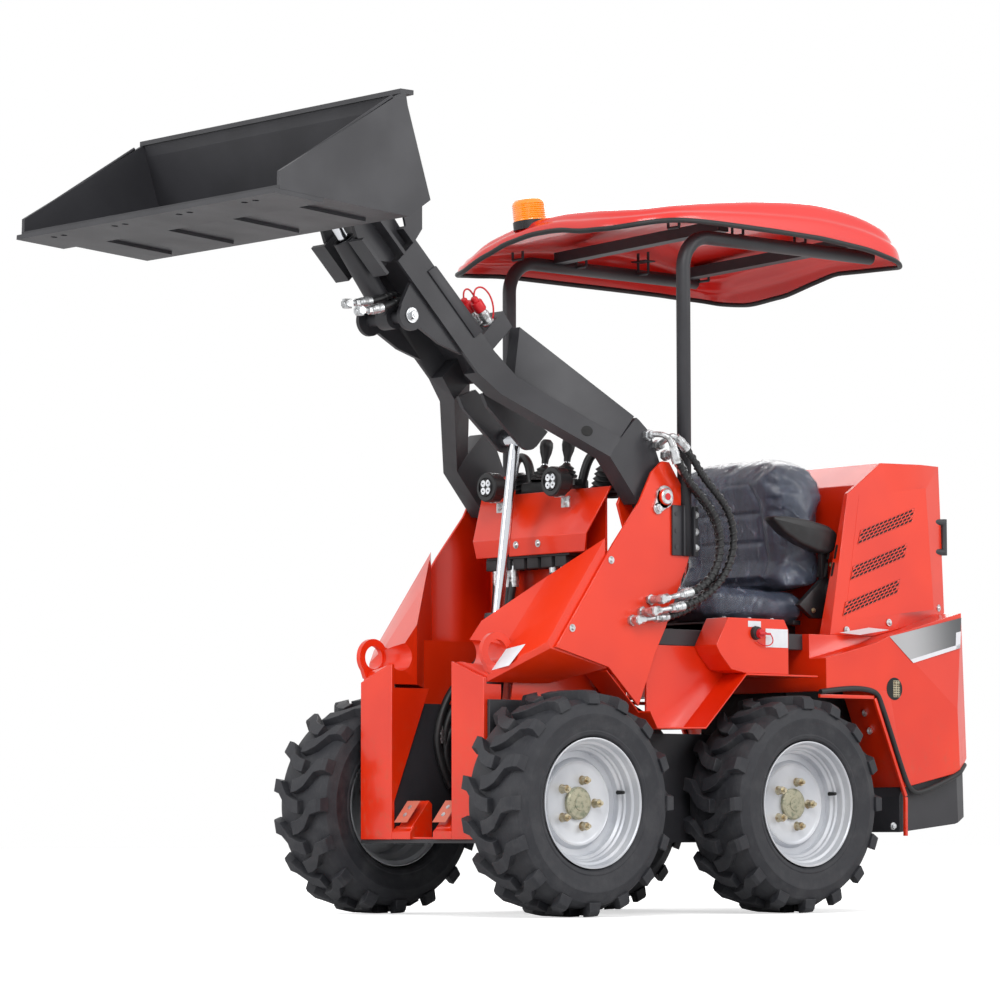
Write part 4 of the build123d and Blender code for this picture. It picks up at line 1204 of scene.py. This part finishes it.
rear = {"seal": [(-0.520, 0.597), (-0.621, 0.609), (-0.692, 0.6085), (-0.739, 0.600), (-0.757, 0.574),
                 (-0.850, 0.362), (-0.873, 0.330), (-0.905, 0.323), (-0.993, 0.350), (-1.064, 0.377)],
        "sealTail": [(-1.080, 0.396, 0.386), (-1.118, 0.374, 0.404)],
        "flange": [(-0.520, 0.581), (-0.731, 0.581), (-0.851, 0.313), (-0.850, 0.206)],
        "hole": (-0.812, 0.611), "holeRadius": 0.031,
        "decal": [(-0.793, 0.4003, 0.755), (-1.118, 0.3697, 0.818), (-1.100, 0.3806, 0.732),
                  (-0.887, 0.4008, 0.684)],
        "label": [(-0.655, 0.345, 0.7625), (-0.700, 0.378, 0.7565), (-0.815, 0.378, 0.7735),
                  (-0.770, 0.345, 0.7795)],
        "bolts": [((-0.764, 0.3315, 0.545), (0, 1, 0)), ((-0.783, 0.3315, 0.496), (0, 1, 0)),
                  ((-0.807, 0.3945, 0.233), (0, 1, 0))]}


def makeRearTrim():
    for side, name in ((1, "Left"), (-1, "Right")):
        line = [(x, side * 0.4015, z) for x, z in rear["seal"]]
        line += [(x, side * (y + 0.002), z) for x, y, z in rear["sealTail"]]
        curvePiece("bodySeal" + name, line, 0.0075, finish["black_rubber"], "root")
    bm = bmesh.new()
    for (x, z), (x2, z2) in zip(rear["flange"], rear["flange"][1:]):
        across = Vector((z2 - z, 0, x - x2)).normalized() * 0.010
        corners = [Vector((x, 0.392, z)), Vector((x2, 0.392, z2)), Vector((x2, 0.392, z2)) + across,
                   Vector((x, 0.392, z)) + across]
        addPlate(bm, corners, (0, 1, 0), 0.0095, 0.0012)
    mirrored(bm)
    piece("archFlange", bm, finish["red_paint"], "root", 30)
    bm = bmesh.new()
    # a thin near-black disc under the mesh, painted shade for the filler opening
    x, z = rear["hole"]
    addRod(bm, (x, 0.3985, z), (x, 0.4007, z), rear["holeRadius"], segments=40)
    piece("fillerHoleShade", bm, extra["dark"], "root", 30)
    bm = bmesh.new()
    place = Matrix.Translation((x - 0.008, 0.4012, z)) @ Matrix.Rotation(math.pi / 2, 4, "X")
    bmesh.ops.create_grid(bm, x_segments=4, y_segments=7, size=1, matrix=place @ Matrix.Diagonal((0.013, 0.023, 1, 1)))
    cells = list(bm.faces)
    bmesh.ops.inset_individual(bm, faces=cells, thickness=0.0014)
    bmesh.ops.delete(bm, geom=cells, context="FACES_ONLY")
    made = piece("fillerMesh", bm, extra["goldZinc"], "root", 30)
    wall = made.modifiers.new("wall", "SOLIDIFY")
    wall.thickness = 0.0006
    bm = bmesh.new()
    normal = Vector((-0.078, 0.991, 0.108))
    corners = [Vector(point) + normal * 0.0006 for point in rear["decal"]]
    addPlate(bm, corners, normal, 0.0007)
    mirrored(bm)
    piece("rearDecal", bm, extra["greyPlate"], "root", 30)
    bm = bmesh.new()
    low = [corners[3], corners[2], corners[2].lerp(corners[1], 0.13), corners[3].lerp(corners[0], 0.13)]
    addPlate(bm, [point + normal * 0.0007 for point in low], normal, 0.0005)
    tail = [corners[2].lerp(corners[3], 0.10), corners[2], corners[2].lerp(corners[1], 0.55),
            corners[2].lerp(corners[1], 0.55).lerp(corners[3].lerp(corners[0], 0.55), 0.08)]
    addPlate(bm, [point + normal * 0.0007 for point in tail], normal, 0.0005)
    mirrored(bm)
    piece("rearDecalEdge", bm, extra["plate"], "root", 30)
    bm = bmesh.new()
    addPlate(bm, [Vector(point) + Vector((0, 0, 0.001)) for point in rear["label"]], (0.05, 0.35, 0.93), 0.0006)
    piece("ledgeLabel", bm, extra["plate"], "root", 30)
    bm = bmesh.new()
    for point, direction in rear["bolts"]:
        addBolt(bm, point, direction, 0.0075)
    mirrored(bm)
    piece("rearBolts", bm, finish["zinc"], "root", 30)


makeVents()
makeHoodTrim()
makeRearTrim()
print("rear body trim made")

tower = {"outer": 0.3605, "pin": (0.023, 1.103), "keeper": (0.048, 1.071),
         "bracket": (0.949, 1.083), "bracketBolts": (0.972, 1.015, 1.060),
         "bandBolts": [(0.214, 0.928), (0.352, 0.746)]}


def makeTowerTrim():
    bm = bmesh.new()
    y = tower["outer"]
    (x, z), (x2, z2) = tower["pin"], tower["keeper"]
    addRod(bm, (x, y, z), (x, y + 0.005, z), 0.0300, segments=36)
    addRod(bm, (x2, y, z2), (x2, y + 0.005, z2), 0.0150, segments=24)
    along = Vector((x2 - x, 0, z2 - z)).normalized()
    across = Vector((along.z, 0, -along.x))
    start, end = Vector((x, y, z)), Vector((x2, y, z2))
    addPlate(bm, [start + across * 0.029, end + across * 0.0145, end - across * 0.0145, start - across * 0.029],
             (0, 1, 0), 0.005)
    addRod(bm, (x, 0.3742, z), (x, 0.3765, z), 0.0205, 0.0185, 32)
    addBolt(bm, (x2, y + 0.005, z2), (0, 1, 0), 0.0085)
    for px, pz in tower["bandBolts"]:
        addBolt(bm, (px, y, pz), (0, 1, 0), 0.0075, True)
    for pz in tower["bracketBolts"]:
        addBolt(bm, (-0.089, y + 0.005, pz), (0, 1, 0), 0.0070)
    mirrored(bm)
    piece("towerMetal", bm, finish["zinc"], "root", 30)
    bm = bmesh.new()
    addRod(bm, (x, 0.3762, z), (x, 0.3775, z), 0.0095, segments=20)
    mirrored(bm)
    piece("pinPlug", bm, extra["redCap"], "root", 30)
    bm = bmesh.new()
    low, high = tower["bracket"]
    addBlock(bm, (-0.0390, y, low), (-0.0030, y + 0.0060, high), 0.0020)
    addBlock(bm, (-0.1000, y, low), (-0.0815, y + 0.0050, high), 0.0020)
    addBlock(bm, (-0.0815, y - 0.001, low), (-0.0760, y + 0.0130, high), 0.0015)
    addBlock(bm, (-0.0440, y - 0.001, low), (-0.0385, y + 0.0130, high), 0.0015)
    for pz in tower["bracketBolts"]:
        addRod(bm, (-0.017, y + 0.0055, pz), (-0.017, y + 0.0075, pz), 0.0062, segments=18)
    mirrored(bm)
    piece("postBrackets", bm, finish["charcoal_paint"], "root", 30)


front = {"plate": [(0.500, 0.2780, 0.6925), (0.4800, 0.3070, 0.6700), (0.5330, 0.2690, 0.6050),
                   (0.5480, 0.2520, 0.6230)],
         "padBolts": [(0.5345, 0.0775, 0.2845), (0.5505, 0.0775, 0.2650)],
         "pad": [(0.520, 0.301), (0.566, 0.2445)], "padSides": (0.051, 0.104),
         "panel": [(0.05, 0.545), (0.46, 0.545), (0.44, 0.680), (0.36, 0.735), (0.05, 0.735)], "panelSide": 0.236}


def makeFrontTrim():
    bm = bmesh.new()
    a, b, c = (Vector(point) for point in ((0.5497, 0.250, 0.624), (0.337, 0.250, 0.887), (0.431, 0.352, 0.708)))
    normal = (b - a).cross(c - a).normalized()
    if normal.z < 0:
        normal = -normal
    corners = [a + (b - a) * u + (c - a) * v for u, v in ((0.02, 0.06), (0.22, 0.10), (0.14, 0.50), (-0.05, 0.42))]
    addPlate(bm, [corner + normal * 0.0008 for corner in corners], normal, 0.0007, 0.0002)
    piece("coverLabel", bm, extra["plate"], "root", 30)
    bm = bmesh.new()
    (x, z), (x2, z2) = front["pad"]
    inside, outside = front["padSides"]
    addPlate(bm, [(x, inside, z), (x, outside, z), (x2, outside, z2), (x2, inside, z2)], (0.78, 0, 0.62), 0.0002)
    mirrored(bm)
    piece("padFaces", bm, extra["wornRed"], "root", 30)
    bm = bmesh.new()
    addPlate(bm, [(x, front["panelSide"], z) for x, z in front["panel"]], (0, 1, 0), 0.004)
    mirrored(bm)
    piece("innerPanels", bm, finish["red_paint"], "root", 30)
    bm = bmesh.new()
    for x, y, z in front["padBolts"]:
        out = Vector((0.78, 0, 0.62))
        addRod(bm, Vector((x, y, z)) - out * 0.003, Vector((x, y, z)) + out * 0.0006, 0.0065, segments=20)
    mirrored(bm)
    for y in (-0.052, 0.037):
        addBolt(bm, (0.1815, y, 0.990), (1, 0, -0.08), 0.0075, True)
    piece("frontBolts", bm, finish["zinc"], "root", 30)


lamp = {"centre": (0.217, 0.131, 1.149), "lens": 0.0235, "cup": 0.0095, "spread": 0.0102}


def makeLampFronts():
    glass = bmesh.new()
    bezel = bmesh.new()
    metal = bmesh.new()
    x, y, z = lamp["centre"]
    addRod(bezel, (x - 0.001, y, z), (x + 0.0035, y, z), 0.0395, 0.0370, 48)
    spinRing = bmesh.ops.create_cone(bezel, cap_ends=False, segments=48, radius1=lamp["lens"] + 0.003,
                                     radius2=lamp["lens"] + 0.001, depth=0.006,
                                     matrix=aim((x + 0.002, y, z), (x + 0.008, y, z)))
    for across in (-1, 1):
        for up in (-1, 1):
            cy, cz = y + across * lamp["spread"], z + up * lamp["spread"]
            addRod(glass, (x + 0.0030, cy, cz), (x + 0.0050, cy, cz), lamp["cup"], lamp["cup"], 24)
            addRod(bezel, (x + 0.0048, cy, cz), (x + 0.0060, cy, cz), 0.0022, segments=12)
    for number in range(12):
        turn = 2 * math.pi * number / 12
        fin = Vector((0, math.cos(turn), math.sin(turn)))
        middle = Vector((x - 0.020, y, z)) + fin * 0.0385
        addBlock(bezel, [c - s for c, s in zip(middle, (0.012, 0.002, 0.002))],
                 [c + s for c, s in zip(middle, (0.012, 0.002, 0.002))])
    addBlock(metal, (0.1640, y - 0.016, 1.082), (0.1690, y + 0.016, 1.112), 0.001)
    addBlock(metal, (0.1600, y - 0.014, 1.108), (0.1950, y + 0.014, 1.1115), 0.001)
    addBolt(metal, (0.169, y, 1.096), (1, 0, 0.4), 0.0055)
    for made in (glass, bezel, metal):
        mirrored(made)
    piece("lampCups", glass, extra["lens"], "root", 30)
    piece("lampBezels", bezel, finish["lamp_black"], "root", 30)
    piece("lampBrackets", metal, finish["zinc"], "root", 30)


lever = {"knob": [(0.0, 0.0), (0.009, 0.0), (0.010, 0.012), (0.016, 0.030), (0.0185, 0.046), (0.0175, 0.058),
                  (0.011, 0.066), (0.0, 0.068)],
         "boot": [(0.034, 0.0), (0.036, 0.004), (0.030, 0.008), (0.032, 0.014), (0.025, 0.018), (0.027, 0.024),
                  (0.019, 0.028), (0.021, 0.034), (0.012, 0.040), (0.0085, 0.046)],
         "bellows": (0.050, 0.168, 1.118)}


def addTurned(bm, profile, foot, direction, steps=32):
    # a profile of (radius, height) turned about an axis that starts at the foot
    made = bmesh.new()
    verts = [made.verts.new((radius, 0, height)) for radius, height in profile]
    edges = [made.edges.new(pair) for pair in zip(verts, verts[1:])]
    bmesh.ops.spin(made, geom=verts + edges, axis=(0, 0, 1), cent=(0, 0, 0), angle=2 * math.pi, steps=steps,
                   use_merge=True)
    bmesh.ops.remove_doubles(made, verts=made.verts, dist=1e-5)
    turn = Vector(direction).normalized().to_track_quat("Z", "Y").to_matrix().to_4x4()
    bmesh.ops.transform(made, verts=made.verts, matrix=Matrix.Translation(foot) @ turn)
    bmesh.ops.recalc_face_normals(made, faces=made.faces)
    held = bpy.data.meshes.new("turned")
    made.to_mesh(held)
    made.free()
    bm.from_mesh(held)
    bpy.data.meshes.remove(held)


def makeControls():
    bm = bmesh.new()
    metal = bmesh.new()
    for y in (-0.045, 0.045):
        foot = Vector((0.0895, y, 1.165))
        lean = Vector((-0.010, 0, 0.076)).normalized()
        addTurned(bm, lever["boot"], foot, lean)
        addRod(metal, foot, foot + lean * 0.060, 0.0062, segments=18)
        addTurned(bm, lever["knob"], foot + lean * 0.050, lean)
    addBlock(bm, (0.060, -0.110, 1.1203), (0.115, 0.110, 1.165), 0.008)
    for side in (1, -1):
        x, y, z = lever["bellows"]
        rings = [(0.0, 0.0)]
        for index in range(6):
            radius = 0.050 - index * 0.003
            rings += [(radius - 0.006, index * 0.013), (radius, index * 0.013 + 0.0045),
                      (radius - 0.006, index * 0.013 + 0.009)]
        rings += [(0.022, 0.080), (0.0, 0.082)]
        addTurned(bm, rings, (x, side * y, z), (0.15, side * 0.25, 1), 40)
    made = piece("leverGrips", bm, extra["softBlack"], "root", 35)
    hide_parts("control_levers")
    piece("leverRods", metal, finish["chrome"], "root", 30)
    for side, name in ((1, "Left"), (-1, "Right")):
        line = [(0.080, side * 0.100, 1.150), (0.076, side * 0.112, 1.205), (0.068, side * 0.140, 1.238),
                (0.058, side * 0.178, 1.243), (0.048, side * 0.212, 1.220), (0.040, side * 0.222, 1.180)]
        curvePiece("handBar" + name, line, 0.0125, extra["softBlack"], "root")


console = {"switch": (-0.286, 0.3955, 0.748), "top": 0.7893,
           "bolts": [(-0.205, 0.352), (-0.300, 0.352), (-0.385, 0.352)],
           "smallPlate": (-0.300, -0.252, 0.766, 0.782), "largePlate": (-0.424, -0.318, 0.713, 0.763)}


def makeConsoleTrim():
    bm = bmesh.new()
    for x, y in console["bolts"]:
        addBolt(bm, (x, y, console["top"]), (0, 0, 1), 0.0070, True)
    mirrored(bm)
    piece("consoleBolts", bm, finish["zinc"], "root", 30)
    bm = bmesh.new()
    for low, high, bottom, top in (console["smallPlate"], console["largePlate"]):
        addBlock(bm, (max(low, -0.402), 0.3951, bottom), (high, 0.3959, top))
    piece("consoleLabels", bm, extra["plate"], "root", 30)
    x, y, z = console["switch"]
    bm = bmesh.new()
    addRod(bm, (x + 0.006, y - 0.001, z + 0.002), (x + 0.006, y + 0.010, z + 0.002), 0.019, 0.017, 32)
    piece("switchBase", bm, finish["lamp_black"], "root", 30)
    bm = bmesh.new()
    addRod(bm, (x, y + 0.009, z), (x, y + 0.018, z), 0.0135, 0.0120, 28)
    addBlock(bm, (x - 0.013, y + 0.014, z - 0.004), (x + 0.013, y + 0.026, z + 0.004), 0.003)
    addBlock(bm, (x - 0.040, y + 0.010, z - 0.003), (x - 0.010, y + 0.013, z + 0.003), 0.001)
    piece("switchKey", bm, extra["redCap"], "root", 30)
    line = [(x - 0.038, y + 0.012, z), (x - 0.050, y + 0.012, z - 0.012), (x - 0.046, y + 0.010, z - 0.028),
            (x - 0.020, y + 0.008, z - 0.034), (x + 0.004, y + 0.006, z - 0.022)]
    curvePiece("keyTether", line, 0.0016, extra["redCap"], "root")


makeTowerTrim()
makeFrontTrim()
makeLampFronts()
makeControls()
makeConsoleTrim()
print("front and controls made")

arm = {"holeBolt": (0.277, 1.265), "holeHalf": 0.013,
       "strip": [(0.462, 1.517), (0.624, 1.680), (0.596, 1.697), (0.433, 1.538)],
       "headPin": (0.668, 1.562), "couplers": [0.032, 0.074]}
# the boom's own line, its start and its direction, left unset
boomStart, boomDirection = None, None


def makeArmTrim():
    # the arm's holes are thin near-black slots, painted shade for the openings
    bm = bmesh.new()
    out = Vector((0.49, 0.77, 0.41)).normalized()
    spot = Vector((0.2256, 0.2814, 1.2719)) + out * 0.0006
    up = (Vector((0, 0, 1)) - out * out.z).normalized()
    addSlot(bm, spot, out.cross(up) * -1, up, 0.0155, 0.0, 0.0014)
    mirrored(bm)
    piece("armHoleShade", bm, extra["dark"], "arm", 30)
    bm = bmesh.new()
    addPlate(bm, [(px, 0.1003, pz) for px, pz in arm["strip"]], (0, 1, 0), 0.005, 0.0025)
    mirrored(bm)
    piece("guardStrips", bm, finish["charcoal_paint"], "arm", 30)
    bm = bmesh.new()
    x, z = arm["headPin"]
    for side in (1, -1):
        addRod(bm, (x, side * 0.0900, z), (x, side * 0.0935, z), 0.0200, segments=32)
        addBolt(bm, (x, side * 0.0935, z), (0, side, 0), 0.0115)
    piece("headPins", bm, finish["zinc"], "arm", 30)


coupling = {"spot": (0.4015, 1.5765), "aim": (0.66, 0, 0.75),
            "body": [(0.0, 0.0), (0.0165, 0.0), (0.0165, 0.006), (0.0130, 0.008), (0.0130, 0.020),
                     (0.0150, 0.022), (0.0150, 0.034), (0.0125, 0.036), (0.0125, 0.050), (0.0, 0.051)],
            "cap": [(0.0, 0.044), (0.0150, 0.044), (0.0165, 0.048), (0.0165, 0.070), (0.0150, 0.073),
                    (0.0100, 0.074), (0.0100, 0.084), (0.0060, 0.088), (0.0, 0.088)],
            "collar": [(0.0, -0.002), (0.0175, -0.002), (0.0180, 0.001), (0.0175, 0.004), (0.0, 0.004)]}


def makeCouplings():
    low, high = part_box("quick_couplers")
    steel = bmesh.new()
    red = bmesh.new()
    ahead = Vector(coupling["aim"]).normalized()
    middleX, middleZ = (low[0] + high[0]) / 2, (low[2] + high[2]) / 2
    for index, y in enumerate(arm["couplers"]):
        foot = Vector((middleX, y, middleZ)) - ahead * 0.030
        addTurned(steel, coupling["body"], foot, ahead)
        addTurned(red, coupling["collar"], foot, ahead)
        addTurned(red, coupling["cap"], foot, ahead)
        tip = foot + ahead * 0.080
        side = Vector((0, 1 if index else -1, 0))
        up = Vector((-0.75, 0, 0.66))
        loop = [tip, tip + ahead * 0.022 + up * 0.012, tip + ahead * 0.016 + up * 0.040 + side * 0.006,
                tip - ahead * 0.020 + up * 0.046 + side * 0.010, tip - ahead * 0.058 + up * 0.030 + side * 0.010,
                foot + ahead * 0.006 + up * 0.016 + side * 0.004]
        curvePiece(f"capTether{index + 1}", loop, 0.0024, extra["redCap"], "arm")
    steel = piece("couplerBodies", steel, finish["zinc"], "arm", 30)
    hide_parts("quick_couplers")
    piece("couplerCaps", red, extra["redCap"], "arm", 30)


head = {"hoses": [
    [(0.812, 0.052, 1.566), (0.780, 0.060, 1.570), (0.745, 0.062, 1.578), (0.706, 0.060, 1.592),
     (0.676, 0.056, 1.606), (0.650, 0.050, 1.610), (0.622, 0.040, 1.596)],
    [(0.828, 0.020, 1.586), (0.796, 0.030, 1.590), (0.760, 0.036, 1.596), (0.720, 0.036, 1.608),
     (0.690, 0.032, 1.619), (0.660, 0.026, 1.620), (0.630, 0.020, 1.608)]]}


def makeHeadHoses():
    metal = bmesh.new()
    for number, points in enumerate(head["hoses"], 1):
        made = curvePiece(f"headHose{number}", points[2:], 0.0085, finish["black_rubber"], "arm")
        wrap = curvePiece(f"headHoseWrap{number}", coil(splineLine(points[3:]), 0.0070, 0.018, 8), 0.0038, extra["braid"],
                          "arm", 2)
        wrap.data.bevel_resolution = 1
        start, bend = Vector(points[0]), Vector(points[1])
        addRod(metal, start, bend, 0.0075, 0.0070, 18)
        addFerrule(metal, bend, Vector(points[2]))
        addRod(metal, start - Vector((0, 0, 0.012)), start + Vector((0, 0, 0.012)), 0.0125, segments=6)
        addRod(metal, start - Vector((0, 0.012, 0)), start + Vector((0, 0.014, 0)), 0.0115, segments=6)
        bmesh.ops.create_uvsphere(metal, u_segments=20, v_segments=12, radius=0.0125,
                                  matrix=Matrix.Translation(start))
    piece("headFittings", metal, finish["zinc"], "arm", 30)


makeArmTrim()
makeCouplings()
makeHeadHoses()
print("arm trim made")

roofTrim = {"beacon": (0.118, -0.062), "base": 1.866, "radius": 0.0460, "tall": 0.070, "ribs": 9,
            "lean": (0.09, -0.05, 1), "rise": 0.042, "farRise": 0.020}


def makeBeacon():
    x, y = roofTrim["beacon"]
    radius, tall, foot = roofTrim["radius"], roofTrim["tall"], (x, y, roofTrim["base"])
    bm = bmesh.new()
    profile = [(0.0, 0.010), (radius - 0.001, 0.010)]
    for index in range(roofTrim["ribs"]):
        z = 0.014 + (tall - 0.028) * index / (roofTrim["ribs"] - 1)
        profile += [(radius - 0.0005, z), (radius - 0.0020, z + 0.0025)]
    profile += [(radius - 0.003, tall - 0.008), (radius - 0.008, tall - 0.002), (radius - 0.014, tall), (0.0, tall)]
    addTurned(bm, profile, foot, roofTrim["lean"], 56)
    made = piece("beaconLens", bm, finish["amber_lens"], "root", 40)
    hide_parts("beacon")
    bm = bmesh.new()
    addTurned(bm, [(0.0, -0.012), (radius + 0.001, -0.012), (radius + 0.001, 0.010), (radius - 0.002, 0.012),
                   (0.0, 0.012)], foot, roofTrim["lean"], 48)
    piece("beaconBase", bm, finish["lamp_black"], "root", 30)


def makeRoofBrackets():
    bm = bmesh.new()
    railLow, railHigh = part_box("canopy_rails")
    for side in (1, -1):
        for x in (-0.060, -0.300, -0.540, -0.780):
            y = side * 0.316
            lift = roofTrim["rise"] if side > 0 else roofTrim["farRise"]
            low, high = railLow[2] + lift - 0.004, railHigh[2] + lift
            top = roofHeight("shoulder", x, y) - 0.002
            for dy in (-0.021, 0.021):
                addRod(bm, (x, y + dy, low), (x, y + dy, top), 0.0040, segments=12)
            addRod(bm, (x, y - 0.021, low), (x, y + 0.021, low), 0.0040, segments=12)
            addBlock(bm, (x - 0.020, y - 0.030, high), (x + 0.020, y + 0.030, high + 0.004), 0.001)
    piece("roofBrackets", bm, finish["charcoal_paint"], "root", 30)


def makePosts():
    # the round posts and rails again as merged, smooth-shaded copies, the rails raised
    for name in ("canopy_posts", "canopy_rails"):
        bm = bmesh.new()
        bm.from_mesh(nodes[name].data)
        bmesh.ops.remove_doubles(bm, verts=bm.verts, dist=2e-5)
        for vert in bm.verts:
            if name == "canopy_rails":
                share = (vert.co.y + 0.333) / 0.666
                vert.co.z += roofTrim["farRise"] + (roofTrim["rise"] - roofTrim["farRise"]) * share
        made = piece(name + "_smooth", bm, finish["charcoal_paint"], "root", 40, keepNormals=True)
        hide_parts(name)


makeBeacon()
makeRoofBrackets()
makePosts()
print("roof trim made")

bucketTrim = {"crease": 0.0025}


def makeBucketTrim():
    # a weld at each side of the bucket
    low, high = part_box("bucket")
    bm = bmesh.new()
    top = high[2]
    for side in (1, -1):
        y = side * (high[1] - 0.006)
        addRod(bm, (1.105, y, 2.030), (1.405, y, 1.838), 0.0040, segments=10)
    piece("bucketWelds", bm, finish["charcoal_paint"], "tool", 60)


makeBucketTrim()
print("bucket trim made")
